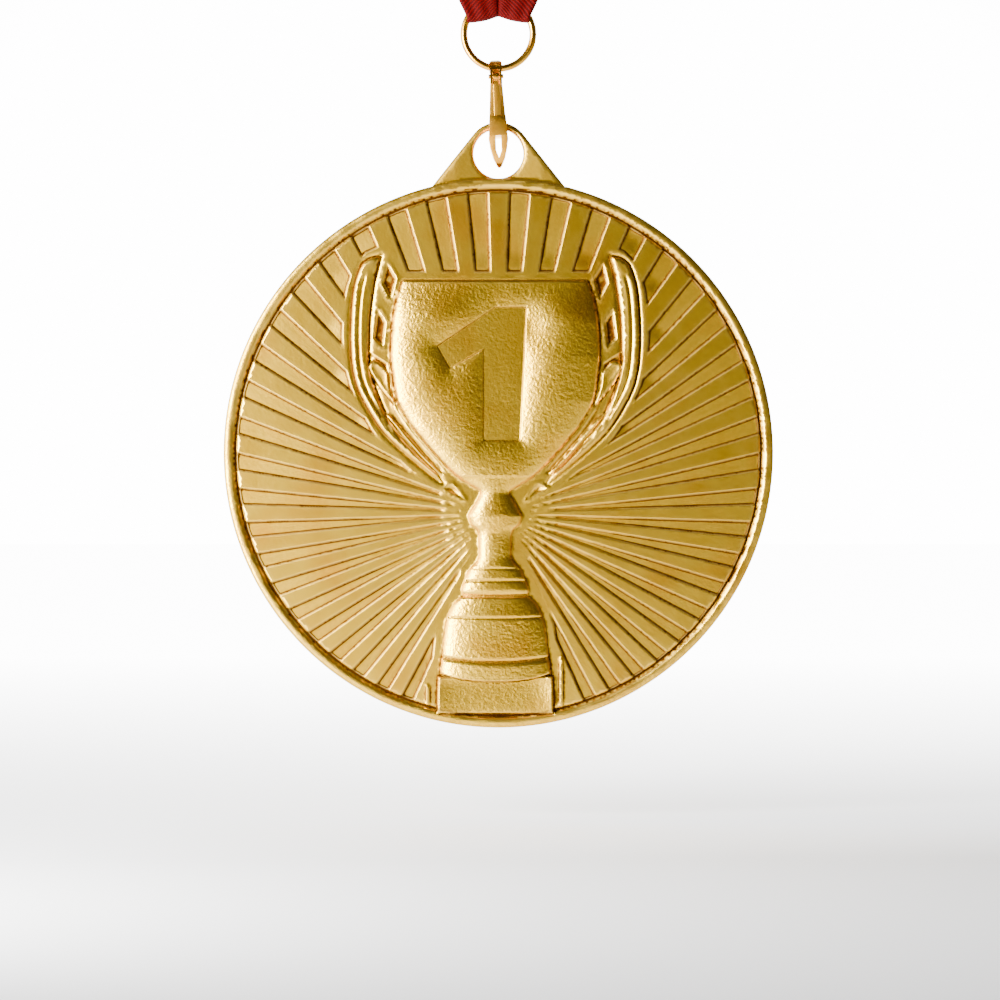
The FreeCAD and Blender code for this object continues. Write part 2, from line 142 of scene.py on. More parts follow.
def distance(at, line, closed=True, reach=3.0):
    """Distance of each point from a line of straight pieces, or FAR beyond reach of its box."""
    close = near_box(at, line, reach)
    p = at[close]
    best = np.full(len(p), FAR**2)
    ends = np.roll(line, -1, axis=0) if closed else line[1:]
    for a, b in zip(line, ends):
        run = b - a
        t = np.clip(((p - a) @ run) / max(run @ run, 1e-12), 0, 1)
        gap = p - a - t[:, None] * run
        best = np.minimum(best, gap[:, 0]**2 + gap[:, 1]**2)
    out = np.full(len(at), FAR)
    out[close] = np.sqrt(best)
    return out


def signed(at, line, reach=3.0):
    """Distance from a closed outline, negative inside it."""
    close = near_box(at, line, reach)
    p = at[close]
    odd = np.zeros(len(p), bool)
    for a, b in zip(line, np.roll(line, -1, axis=0)):
        if a[1] != b[1]:
            crosses = (a[1] > p[:, 1]) != (b[1] > p[:, 1])
            odd ^= crosses & (p[:, 0] < a[0] + (p[:, 1] - a[1]) / (b[1] - a[1]) * (b[0] - a[0]))
    out = distance(at, line, True, reach)
    out[np.flatnonzero(close)[odd]] *= -1
    return out


def offset(line, by):
    """A closed outline moved outwards by a distance, along its normals."""
    run = np.roll(line, -1, axis=0) - np.roll(line, 1, axis=0)
    normal = np.stack([run[:, 1], -run[:, 0]], 1) / np.linalg.norm(run, axis=1)[:, None]
    area = np.sum(line[:, 0] * np.roll(line[:, 1], -1) - np.roll(line[:, 0], -1) * line[:, 1])
    return line + normal * by * (1 if area > 0 else -1)


def ease(t):
    """0 to 1 with a soft start and end."""
    t = np.clip(t, 0, 1)
    return t * t * (3 - 2 * t)


def mirror(line):
    return line[::-1] * np.array([-1, 1])


# %% [markdown]
# ## The drawing of the emblem
# The emblem stands a little left of the disc's centre line, as it does on many cheap castings. Outlines are given
# for the right half, from the top down, and mirrored. The cup is drawn as a goblet, then its turned stem and its
# stepped foot. The bow-shaped handles have ornament between them and the cup.

# %% Emblem outlines
EMBLEM_X = -0.4
CUP_SIDE = [(11.75, 22.06), (12.6, 19.9), (13.2, 16.6), (13.4, 11.8), (12.6, 6.5), (10.5, 3.0), (7.2, -0.9),
            (4.9, -3.1), (3.1, -4.2)]
STEM_SIDE = [(2.05, -4.8), (1.95, -5.3), (2.5, -6.3), (3.47, -8.0), (3.1, -9.2), (2.3, -9.9), (2.14, -11.0),
             (2.14, -13.3), (2.6, -14.1), (3.3, -14.75), (3.9, -16.1), (4.4, -17.4), (4.3, -18.1), (5.3, -19.2),
             (6.16, -20.9), (6.6, -23.5), (6.85, -26.0), (7.1, -28.2)]
FIGURE_SIDE = CUP_SIDE + STEM_SIDE
SWELL = [(22.1, 1.5), (12, 1.8), (2, 1.45), (-3, 1.05), (-5.1, 0.85), (-8, 1.15), (-10.3, 0.85), (-13.4, 0.85),
         (-15, 1.0), (-17.5, 1.15), (-18.2, 0.95), (-21, 1.25), (-26, 1.4), (-28.3, 1.4)]
FIGURE_FOOT = [(5.6, -28.62), (4.2, -28.9), (2.8, -29.08), (1.4, -29.18)]
BASE_HALF, BASE_TOP, BASE_BOTTOM = 7.4, -28.3, -33.3
POSTS = [(-9.0, -29.4, -32.5), (8.0, -25.9, -32.6)]
GROUND_SIDE = [(12.3, 22.95), (13.6, 25.9), (14.8, 26.2), (16.5, 25.4), (18.0, 23.6), (18.9, 20.8), (19.35, 17.3),
               (19.4, 14.6), (19.1, 11.2), (18.4, 8.7), (17.0, 5.4), (15.6, 2.9), (13.7, 0.6), (11.3, -1.7),
               (8.6, -3.8), (6.1, -5.5), (4.6, -6.6), (4.3, -8.0), (4.0, -9.2), (3.1, -10.2), (3.0, -13.1),
               (3.6, -14.0), (4.4, -14.8), (4.6, -16.2), (5.5, -17.3), (5.6, -18.3), (6.4, -19.5), (7.2, -21.2),
               (7.6, -23.6), (7.9, -26.2), (8.1, -28.2), (9.3, -33.3)]
HANDLE_OUTER = [(14.6, 25.1), (16.1, 24.75), (17.2, 23.6), (18.1, 20.3), (18.4, 14.2), (17.85, 9.3),
                (16.2, 5.6), (14.0, 2.4), (10.6, -0.75), (6.7, -3.9)]
HANDLE_INNER = [(7.5, -2.5), (9.8, -0.35), (12.8, 3.2), (14.1, 5.2), (15.5, 8.8), (16.1, 11.5), (16.1, 13.9),
                (15.95, 17.7), (15.4, 21.8)]
WINDOWS = [[(13.78, 24.2), (12.6, 22.2), (13.3, 19.5), (14.4, 21.6)],
           [(15.0, 18.35), (13.95, 16.6), (14.3, 13.4), (15.5, 14.6)],
           [(6.5, -4.5), (5.5, -4.0), (3.9, -6.0)]]
LEAF = [(16.2, 10.9), (15.6, 11.75), (14.7, 11.5), (13.55, 10.2), (13.35, 8.6), (12.55, 5.9), (13.7, 7.0),
        (15.1, 8.8)]
FROND = [(14.2, 5.3), (12.5, 3.9), (10.9, 2.1), (8.6, -0.6), (6.6, -2.8), (7.6, -2.5), (9.9, -0.2), (12.6, 3.0)]
TROUGH = [(16.45, 13.2), (16.4, 11.5), (15.8, 8.9), (14.3, 5.3), (13.0, 3.3), (9.9, -0.2), (7.6, -2.4),
          (6.0, -2.9), (7.6, -0.9), (10.8, 2.7), (12.75, 5.6), (13.6, 9.0), (13.7, 11.4)]
NUMERAL = [(0.0, 18.5), (3.9, 18.5), (3.1, 1.6), (-1.45, 1.6), (-1.45, 13.3), (-5.8, 10.8), (-7.35, 13.55)]


def whole(right):
    """A closed outline from its right half, drawn top to bottom."""
    return np.vstack([right, mirror(right)]) + [EMBLEM_X, 0]


def pair(outline):
    """The same outline on the right and on the left."""
    return [outline + [EMBLEM_X, 0], mirror(outline) + [EMBLEM_X, 0]]


figure = whole(np.vstack([curve(FIGURE_SIDE), FIGURE_FOOT]))
base = straight([(EMBLEM_X - BASE_HALF, BASE_TOP), (EMBLEM_X + BASE_HALF, BASE_TOP),
                 (EMBLEM_X + BASE_HALF + 0.1, BASE_BOTTOM), (EMBLEM_X - BASE_HALF - 0.1, BASE_BOTTOM)])
ground = whole(straight(GROUND_SIDE, closed=False))
handles = pair(np.vstack([curve(HANDLE_OUTER), curve(HANDLE_INNER)]))
handle_lines = pair(curve(HANDLE_OUTER))
windows = [w for outline in WINDOWS for w in pair(straight(outline))]
leaves = [leaf for outline in (LEAF, FROND) for leaf in pair(curve(outline, closed=True))]
troughs = pair(straight(TROUGH))
numeral = straight(NUMERAL, closed=True) + [EMBLEM_X, 0]
strokes = [straight(stroke, closed=True) + [EMBLEM_X, 0] for stroke in (
    NUMERAL[1:4] + [(-1.45, 17.6), (0.0, 18.5)], NUMERAL[4:] + [(0.0, 18.5), (3.6, 16.0)])]
print(f"{len(figure) + len(ground)} points in the main outlines")

# %% [markdown]
# ## The sunburst
# Forty-eight narrow recesses fan out from a point below the cup, 7.5 degrees apart, with flat bars between them.
# Each one is cut between two rays. Its inner end follows the border round the emblem and its outer end follows
# the rim, so the ends are found by walking out along each ray until it leaves the border.

# %% Recess outlines
FAN = np.array([0, -7.7])
RAYS, HALF_ANGLE = 48, math.radians(2.02)
MOAT = 33.45
SHORTEST_RECESS = 2.5


def ray_span(angle):
    """Inner and outer radius, from the fan's centre, of the outermost free part of a ray."""
    r = np.arange(3.0, 44.0, 0.04)
    at = FAN + r[:, None] * [math.cos(angle), math.sin(angle)]
    free = (signed(at, ground) > 0) & (np.hypot(*at.T) < MOAT)
    if not free.any():
        return None
    last = np.flatnonzero(free)[-1]
    blocked = np.flatnonzero(~free[:last])
    first = blocked[-1] + 1 if len(blocked) else 0
    return r[first], r[last]


recesses = []
for k in range(RAYS):
    middle = math.pi / 2 - (k + 0.5) * 2 * math.pi / RAYS
    angles = np.linspace(middle - HALF_ANGLE, middle + HALF_ANGLE, 7)
    spans = [ray_span(a) for a in angles]
    if any(span is None or span[1] - span[0] < SHORTEST_RECESS for span in spans):
        continue
    spokes = np.stack([np.cos(angles), np.sin(angles)], 1)
    inner = FAN + spokes * np.array([s[0] for s in spans])[:, None]
    outer = FAN + spokes * np.array([s[1] for s in spans])[:, None]
    recesses.append(dict(start=float(np.mean([s[0] for s in spans])),
                         outline=straight(np.vstack([inner, outer[::-1]]))))
print(f"{len(recesses)} recesses")

# %% [markdown]
# ## The height of every point
# The function below is the die in numbers: it takes points of the drawing and gives their height in front of the
# disc's middle plane. The bars are the reference at 1.1 mm. Recesses have sloping walls and are scooped deepest
# near their inner ends, as a ball-nosed cutter leaves them. The cup is a flattened turned body, with a broad
# hollow round the flat numeral. Lines are cut or raised by how far a point is from them.

# %% Relief
FIELD, WALL, LUG_FACE, EDGE = 1.1, 0.28, 1.0, 0.4
LUG_RADIUS, LUG_HOLE, LUG_Z, LUG_FOOT = 4.0, 3.2, 38.2, (8.45, 33.97)


def arc(centre, radius, start, end, step=0.35):
    """Points on part of a circle, with angles in radians."""
    n = max(3, int(abs(end - start) * radius / step))
    a = np.linspace(start, end, n)
    return np.stack([centre[0] + radius * np.cos(a), centre[1] + radius * np.sin(a)], 1)


# the angle at which the lug's straight side meets its round end
to_foot = np.array(LUG_FOOT) - [0, LUG_Z]
touch = math.atan2(to_foot[1], to_foot[0]) + math.acos(LUG_RADIUS / np.linalg.norm(to_foot))
foot_angle = math.atan2(LUG_FOOT[1], LUG_FOOT[0])
lug_top = arc((0, LUG_Z), LUG_RADIUS, touch, math.pi - touch, 0.25)
lug_side = straight([LUG_FOOT, tuple(lug_top[0])], closed=False)[:-1]
disc_arc = arc((0, 0), RADIUS, math.pi - foot_angle, 2 * math.pi + foot_angle)[1:-1]
outline = np.vstack([lug_side, lug_top, mirror(lug_side), disc_arc])
hole = arc((0, LUG_Z), LUG_HOLE, 0, 2 * math.pi, 0.25)[:-1]


def ramp(t):
    """0 to 1 in a straight line, and flat beyond."""
    return np.clip(t, 0, 1)


def half_width(z, side_line):
    """Half the width of a turned part at each height, from its side line drawn top to bottom."""
    line = np.array(side_line)
    return np.interp(-z, -line[:, 1], line[:, 0])


def grain(at, size, seed):
    """Smooth random numbers between -1 and 1, for a cast surface."""
    return np.array([noise.noise(Vector((x / size, z / size, seed))) for x, z in at])


def rounded_edge(height, inside):
    """Rolls a height over towards the outline."""
    t = ramp(1 - inside / EDGE)
    return height - EDGE * (1 - np.sqrt(1 - t**2 * 0.98))


def line_cut(at, z, sag, reach, depth, width):
    """A groove across a turned part at height z, sagging in the middle."""
    bow = z - sag * (1 - ((at[:, 0] - EMBLEM_X) / reach)**2)
    return -depth * np.exp(-((at[:, 1] - bow) / width)**2) * (np.abs(at[:, 0] - EMBLEM_X) < reach)


STEM_CUTS = [(-14.75, 0.0, 3.0, 0.12, 0.1), (-16.3, 0.0, 3.7, 0.18, 0.12), (-18.15, 0.1, 4.4, 0.36, 0.16),
             (-20.9, 0.15, 6.0, 0.16, 0.12), (-26.0, 0.55, 6.8, 0.22, 0.13)]


def front(at):
    """Height of the obverse."""
    x, z = at[:, 0] - EMBLEM_X, at[:, 1]
    radius = np.hypot(at[:, 0], at[:, 1])
    e = np.full(len(at), FIELD)
    patina_lines_and_base_shade = np.zeros(len(at))
    for recess in recesses:
        d = -signed(at, recess["outline"], reach=0.5)
        along = np.hypot(*(at - FAN).T) - recess["start"]
        depth = 0.24 + 0.36 * np.exp(-np.maximum(along, 0) / 12) * ease(along / 2.8)
        e = np.where(d > 0, FIELD - depth * ramp(d / WALL), e)
        patina_lines_and_base_shade = np.maximum(patina_lines_and_base_shade, np.interp(d, [-0.1, 0, 0.28, 0.42, 0.8], [0, 0.5, 0.95, 0.42, 0.28]))
    for x_post, top, bottom in POSTS:
        inside = ease((top - z) / 0.4) * ease((z - bottom) / 0.4)
        e = e + 0.35 * ramp(1 - np.abs(at[:, 0] - x_post) / 0.3) * inside
    moat = ramp((radius - 33.25) / 0.2)
    e = e + (0.72 - e) * moat
    rim = 0.72 + (1.5 - 0.72) * ramp((radius - 33.55) / 0.4) + 0.03 * ease((radius - 33.9) / 0.4)
    e = np.where(radius > 33.5, rim, e)
    lug = LUG_FACE - 0.2 + 0.07 * np.minimum(np.abs(at[:, 0]), 5.5)
    e = np.where(radius > RADIUS - 0.2, 1.53 - (1.53 - lug) * ramp((radius - RADIUS + 0.2) / 0.3), e)
    e = np.where((radius > RADIUS - 0.5) & (z < 33.9), 1.53, e)

    for d in (signed(at, h, reach=1.5) for h in troughs):
        e = np.where(d < 0, np.minimum(e, FIELD - 0.3 * ramp(-d / 0.35)), e)
    for outer, h in zip(handle_lines, handles):
        d = signed(at, h, reach=2)
        edge = distance(at, outer, closed=False, reach=3)
        e = e - 0.2 * np.exp(-((d - 0.12) / 0.14)**2) * (d > 0)
        band = (FIELD + 0.45 * ramp(-d / 0.28) - 0.12 * ease((edge - 1.05) / 0.9)
                - 0.24 * np.exp(-((edge - 1.0) / 0.16)**2) * ease((23.0 - z) / 1.2))
        e = np.where(d < 0, band, e)
    for d in (signed(at, w, reach=1) for w in windows):
        e = np.where(d < 0, FIELD - 0.4 * ramp(-d / 0.3), e)
        e = e + 0.07 * np.exp(-((d - 0.15) / 0.12)**2) * (d >= 0)
    for d in (signed(at, leaf, reach=1) for leaf in leaves):
        e = np.where(d < 0, FIELD - 0.1 + 0.3 * ramp(-d / 0.25) - 0.12 * ramp((-d - 0.35) / 0.3), e)

    d = signed(at, base)
    across, down = ramp(np.abs(x) / BASE_HALF), ramp((BASE_TOP - z) / 5.0)
    cushion = 1.5 + 0.16 * (1 - ramp(down / 0.3))**2 + 0.32 * ease(down) + 0.5 * across**5 * (1 - 0.5 * down)
    e = np.where(d < 0, FIELD + (cushion - FIELD) * ramp(-d / 0.3), e)

    # Painted shade: the raised face of the base is darkened a little all over, standing in for the shade that
    # falls on it.
    patina_lines_and_base_shade = np.maximum(patina_lines_and_base_shade, 0.27 * ramp(-d / 0.4))

    d = signed(at, figure, reach=1)
    w = half_width(z, FIGURE_SIDE)
    swell = np.interp(-z, [-row[0] for row in SWELL], [row[1] for row in SWELL])
    fall = (0.4 + 0.6 * ease((22.06 - z) / 5.5)) * ramp(-d / 0.2)
    turned = 1.2 + swell * np.sqrt(1 - ramp(np.abs(x) / w)**2.2 * 0.998) * fall
    for place, sag, reach, depth, width in STEM_CUTS:
        turned = turned + line_cut(at, place, sag, reach, depth, width)
    turned = turned + 0.2 * ease((-26.2 - z - 0.55 * (1 - (x / 6.8)**2)) / 0.4) * (z < -26)
    dn = signed(at, numeral, reach=1)
    level = 1.75 - 0.01 * (z - 10) - 0.025 * x
    near = [np.maximum(signed(at, stroke, reach=14), 0) for stroke in strokes]
    hollow = (1 - np.exp(-near[0] / 2.6)) * (1 - np.exp(-near[1] / 2.6))
    in_cup = z > -3
    turned = np.where((d < -0.2) & in_cup, level + (turned - level) * hollow + 0.13 * ramp(dn / 0.16), turned)
    patina_lines_and_base_shade = np.maximum(patina_lines_and_base_shade, 0.75 * np.exp(-((dn - 0.06) / 0.12)**2))
    e = np.where(d < 0, np.maximum(np.where(dn < 0, level, turned), 1.1), e)

    skin = ramp(-d / 1.0) * np.where(dn < 0, 0.35, 1)
    skin = np.maximum(skin, 0.8 * ramp(-signed(at, base) / 0.5)) + 0.07
    rough = grain(at, 0.5, 3.0) + 0.3 * grain(at, 1.3, 8.0)
    e = e + 0.02 * skin * rough + 0.014 * grain(at, 3.2, 5.0)
    e = e + 0.06 * grain(at, 2.4, 6.0) * (radius > 33.9) * (z < 34)
    e = rounded_edge(e, -signed(at, outline))
    return e - 0.25 * (1 - ramp(signed(at, hole) / 0.3))**2, patina_lines_and_base_shade


def back(at):
    """Height of the reverse, behind the middle plane: a flat disc with a sunk round label place."""
    radius = np.hypot(at[:, 0], at[:, 1])
    e = BACK - 0.2 * ramp((25.0 - radius) / 0.25)
    e = np.where(radius > RADIUS - 0.1, LUG_FACE + (BACK - LUG_FACE) * ramp((RADIUS + 0.15 - radius) / 0.25), e)
    e = np.where((radius > RADIUS - 0.5) & (at[:, 1] < 33.9), BACK, e)
    e = rounded_edge(e, -signed(at, outline))
    return e - 0.2 * (1 - ramp(signed(at, hole) / 0.3))**2

# %% [markdown]
# ## From drawing to disc
# A grid of quads would have to be very fine to hold the thin lines. Here the lines themselves are given to a
# constrained Delaunay triangulation, so every edge of the relief is an edge of the mesh, and a honeycomb of loose
# points fills the rest, closer together where the metal is hammered. Front and back share the same outline, so a
# single ring of wall faces closes the disc.

# %% Feature lines
def parts_of(line, good, closed=True):
    """The unbroken runs of a line's good points, as (points, closed)."""
    if good.all():
        return [(line, closed)]
    runs, run = [], []
    start = int(np.flatnonzero(~good)[0]) if closed else 0
    for i in np.roll(np.arange(len(line)), -start):
        if good[i]:
            run.append(line[i])
        elif run:
            runs.append(run)
            run = []
    if run:
        runs.append(run)
    return [(np.array(r), False) for r in runs if len(r) > 1]


def parallels(line, *distances):
    """An outline and lines beside it, without the stretches that would fold over themselves."""
    found = [(line, True)]
    for by in distances:
        beside = offset(line, by)
        found += parts_of(beside, np.abs(signed(beside, line) - by) < 0.15 * abs(by) + 0.01)
    return found


def circle(radius, step=0.35):
    """A whole circle round the disc's centre."""
    return arc((0, 0), radius, 0, 2 * math.pi, step)[:-1]


edge_lines = parallels(outline, -0.03, -0.12, -EDGE)[1:] + parallels(hole, 0.1, 0.3)[1:]
RIM_CIRCLES, LABEL_CIRCLES = (33.25, 33.45, 33.55, 33.95, 34.3), (24.55, 24.75, 25.0, 25.2, 34.2)
feature_lines = [(circle(r), True) for r in RIM_CIRCLES]
under_lug = (foot_angle + 0.01, math.pi - foot_angle - 0.01)
feature_lines += [(arc((0, 0), r, *under_lug), False) for r in (RADIUS - 0.2, RADIUS + 0.1)]
for recess in recesses:
    feature_lines += parallels(recess["outline"], 0.1, -WALL, -1.5 * WALL)
for shape in handles:
    feature_lines += parallels(shape, 0.12, 0.3, -0.28, -0.84, -1.0, -1.16)
for shape in windows:
    feature_lines += parallels(shape, 0.15, -0.3)
for shape in leaves + troughs:
    feature_lines += parallels(shape, 0.1, -0.3)
feature_lines += parallels(figure, 0.1, -0.2, -0.5)
feature_lines += parallels(base, 0.1, -0.3) + parallels(numeral, -0.08, 0.16)
for x, top, bottom in POSTS:
    heights_up = np.linspace(top, bottom, 16)
    feature_lines += [(np.stack([np.full(16, x + dx), heights_up], 1), False) for dx in (-0.3, 0, 0.3)]
for z, sag, reach, _, _ in STEM_CUTS:
    for dz in (-0.12, 0, 0.12):
        xs = np.linspace(-reach, reach, int(reach * 6))
        feature_lines.append((np.stack([xs + EMBLEM_X, z + dz - sag * (1 - (xs / reach)**2)], 1), False))
print(f"{len(feature_lines)} feature lines")


# %% Triangulate
def honeycomb(step, low, high):
    """Evenly spread points in a box."""
    xs = np.arange(low[0], high[0], step)
    zs = np.arange(low[1], high[1], step * math.sqrt(3) / 2)
    return np.array([(x + (i % 2) * step / 2, z) for i, z in enumerate(zs) for x in xs])


def clear_of(points, others, gap):
    """The points that have no other point within the gap."""
    cell = np.floor(others / gap).astype(int)
    taken = {}
    for c, p in zip(map(tuple, cell), others):
        taken.setdefault(c, []).append(p)
    kept = []
    for p in points:
        cx, cz = int(math.floor(p[0] / gap)), int(math.floor(p[1] / gap))
        if not any((q[0] - p[0])**2 + (q[1] - p[1])**2 < gap * gap
                   for i in (-1, 0, 1) for j in (-1, 0, 1) for q in taken.get((cx + i, cz + j), ())):
            kept.append(p)
    return np.array(kept)


def fill_points(near, step, gap):
    """A honeycomb inside the disc that keeps a gap to the lines."""
    box_low, box_high = outline.min(axis=0), outline.max(axis=0)
    points = honeycomb(step, box_low, box_high)
    inside = (signed(points, outline) < -gap) & (signed(points, hole) > gap)
    return clear_of(points[inside], near, gap)


def triangulate(lines, fill):
    """Points, faces and the places of the outline's and the hole's points in them."""
    points, edges = [], []
    for line, closed in lines:
        first = len(points)
        points += [Vector(p) for p in line]
        n = len(line)
        edges += [(first + i, first + (i + 1) % n) for i in range(n if closed else n - 1)]
    points += [Vector(p) for p in fill]
    verts, _, faces, origin, _, _ = delaunay_2d_cdt(points, edges, [], 0, 1e-4)
    place = {}
    for new, olds in enumerate(origin):
        for old in olds:
            place.setdefault(old, new)
    at = np.array([tuple(v) for v in verts])
    tri = np.array([f for f in faces if len(f) == 3])
    middle = at[tri].mean(axis=1)
    tri = tri[(signed(middle, outline) < 0) & (signed(middle, hole) > 0)]
    return at, tri, [place[i] for i in range(len(outline) + len(hole))]


def on_skin(points):
    """Which points lie on the hammered cup or on its base."""
    return (signed(points, figure) < -0.1) | (signed(points, base) < -0.1)


PLAIN_STEP, SKIN_STEP, BACK_STEP = 0.37, 0.2, 1.1
line_points = np.vstack([line for line, _ in feature_lines + edge_lines])
coarse = fill_points(line_points, PLAIN_STEP, 0.14)
fine = fill_points(line_points, SKIN_STEP, 0.1)
face_at, face_tri, face_ring = triangulate([(outline, True), (hole, True)] + edge_lines + feature_lines,
                                           np.vstack([coarse[~on_skin(coarse)], fine[on_skin(fine)]]))
reverse_lines = edge_lines + [(circle(r), True) for r in LABEL_CIRCLES]
reverse_near = np.vstack([line for line, _ in reverse_lines])
back_at, back_tri, back_ring = triangulate([(outline, True), (hole, True)] + reverse_lines,
                                           fill_points(reverse_near, BACK_STEP, 0.3))
print(f"{len(face_tri)} front triangles, {len(back_tri)} back triangles")

# %% [markdown]
# ## Old gold in the hollows
# Antique plating is darkened all over and then rubbed bright again on the high parts, so the dark stays in the
# corners. That is worked out here once for each point, from how much lower it lies than the metal round it, how
# steep it is, and a stain that the relief gives along the walls of the recesses and round the numeral. The flat
# face of the base is also darkened a little, which is painted shade. The material reads the result as an
# attribute. Small gaps in the mesh are then filled, and the open edges that are left are counted.

# %% Build the disc
def mesh_object(name, verts, faces, smooth=True):
    mesh = bpy.data.meshes.new(name)
    mesh.from_pydata([tuple(v) for v in verts], [], [tuple(int(i) for i in f) for f in faces])
    mesh.validate()
    mesh.shade_smooth() if smooth else mesh.shade_flat()
    obj = bpy.data.objects.new(name, mesh)
    bpy.context.scene.collection.objects.link(obj)
    return obj


def spread(values, tri, rounds):
    """Averages each point with its neighbours, several times."""
    a = np.concatenate([tri[:, [0, 1]], tri[:, [1, 2]], tri[:, [2, 0]]])
    count = np.bincount(a.ravel(), minlength=len(values)) + 1
    for _ in range(rounds):
        total = values.copy()
        np.add.at(total, a[:, 0], values[a[:, 1]])
        np.add.at(total, a[:, 1], values[a[:, 0]])
        values = total / count
    return values


heights, patina_lines_and_base_shade = front(face_at)
back_heights = back(back_at)
hollow = np.clip((spread(heights, face_tri, 3) - heights) / 0.09, -1, 1)
a, b, c = (np.column_stack([face_at[face_tri[:, i]], heights[face_tri[:, i]]]) for i in range(3))
normals = np.cross(b - a, c - a)
steep = 1 - np.abs(normals[:, 2]) / (np.linalg.norm(normals, axis=1) + 1e-9)
slope = np.zeros(len(face_at))
np.maximum.at(slope, face_tri.ravel(), np.repeat(steep, 3))
on_wall = np.hypot(*face_at.T) > RADIUS - EDGE
in_moat = np.abs(np.hypot(*face_at.T) - 33.47) < 0.2
rubbed = 0.4 + 0.6 * ease((np.hypot(*(face_at - FAN).T) - 8) / 16)
patina_and_base_shade = 0.95 * rubbed * np.maximum(hollow, 0) * np.where(patina_lines_and_base_shade > 0.1, 0.25, 1) + 0.15 * slope + 0.4 * in_moat
patina_and_base_shade = np.clip(np.where(on_wall, 0.35, patina_and_base_shade + rubbed * patina_lines_and_base_shade), 0, 1)
hammered = ramp(-np.minimum(signed(face_at, figure), signed(face_at, base)) / 0.6)
hammered *= np.where(signed(face_at, numeral) < 0, 0.5, 1)

front_verts = np.column_stack([face_at[:, 0], -heights, face_at[:, 1] + CENTRE_Z]) * MM
back_verts = np.column_stack([back_at[:, 0], back_heights, back_at[:, 1] + CENTRE_Z]) * MM
shift = len(front_verts)
faces = [tuple(t) for t in face_tri] + [(t[2] + shift, t[1] + shift, t[0] + shift) for t in back_tri]
for first, count in ((0, len(outline)), (len(outline), len(hole))):
    for i in range(count):
        j, k = first + i, first + (i + 1) % count
        quad = (face_ring[j], back_ring[j] + shift, back_ring[k] + shift, face_ring[k])
        faces.append(quad if first == 0 else quad[::-1])
medal = mesh_object("struck_medal", np.vstack([front_verts, back_verts]), faces)
for title, values in (("patina_and_base_shade", patina_and_base_shade), ("raised", np.clip(-hollow, 0, 1)), ("hammered", hammered)):
    mark = medal.data.attributes.new(title, "FLOAT", "POINT")
    mark.data.foreach_set("value", np.concatenate([values, np.zeros(len(back_verts))]).astype(np.float32))
print(f"struck medal: {len(medal.data.vertices)} points, {len(medal.data.polygons)} faces")

mended = bmesh.new()
mended.from_mesh(medal.data)
bmesh.ops.delete(mended, geom=[v for v in mended.verts if not v.link_faces], context="VERTS")
bmesh.ops.holes_fill(mended, edges=[e for e in mended.edges if len(e.link_faces) == 1], sides=8)
bmesh.ops.recalc_face_normals(mended, faces=mended.faces)
mended.to_mesh(medal.data)
open_edges = sum(len(e.link_faces) != 2 for e in mended.edges)
mended.free()
medal.data.shade_smooth()
print(f"open edges left: {open_edges}")

# %% [markdown]
# ## Colours and nodes
# Colours are written as the hex values an artist would pick, and turned to the linear values a shader works with.
# One helper adds a node with its settings and its links, so that every material below reads as a short list.

# %% Material helpers
def hex_colour(code):
    """An sRGB hex colour as linear red, green, blue and alpha."""
    parts = [int(code[i:i + 2], 16) / 255 for i in (1, 3, 5)]
    return [c / 12.92 if c <= 0.04045 else ((c + 0.055) / 1.055)**2.4 for c in parts] + [1.0]


def new_material(name):
    material = bpy.data.materials.new(name)
    material.use_nodes = True
    material.node_tree.nodes.clear()
    return material


def add(tree, kind, settings=None, **inputs):
    """Adds a node. Settings are its properties; inputs are socket values, or other nodes' outputs to link."""
    node = tree.nodes.new(kind)
    for key, value in (settings or {}).items():
        setattr(node, key, value)
    for key, value in inputs.items():
        socket = node.inputs[int(key[1:]) if key[1:].isdigit() else key.replace("_", " ")]
        if isinstance(value, bpy.types.NodeSocket):
            tree.links.new(value, socket)
        else:
            socket.default_value = value
    return node


def ramp_node(tree, source, stops):
    """A colour ramp with the given (position, hex colour) stops."""
    node = add(tree, "ShaderNodeValToRGB", Fac=source)
    elements = node.color_ramp.elements
    while len(elements) < len(stops):
        elements.new(0.5)
    for element, (position, code) in zip(elements, stops):
        element.position = position
        element.color = hex_colour(code)
    return node


def finish_material(tree, shader):
    add(tree, "ShaderNodeOutputMaterial", Surface=shader.outputs[0])


# %% [markdown]
# ## Antique gold plating
# The disc is cast zinc with a thin gold plate. Its skin is slightly matt, because the plate follows every grain of
# the casting, and it is browner in the corners. A rough metal is used. Its colour comes from the patina marks,
# which also hold a little painted shade on the base, and from a slow drift between greenish and orange gold, and a
# small bump gives it sand grain of about 0.3 mm.

# %% Gold materials
PER_MM = 1000.0


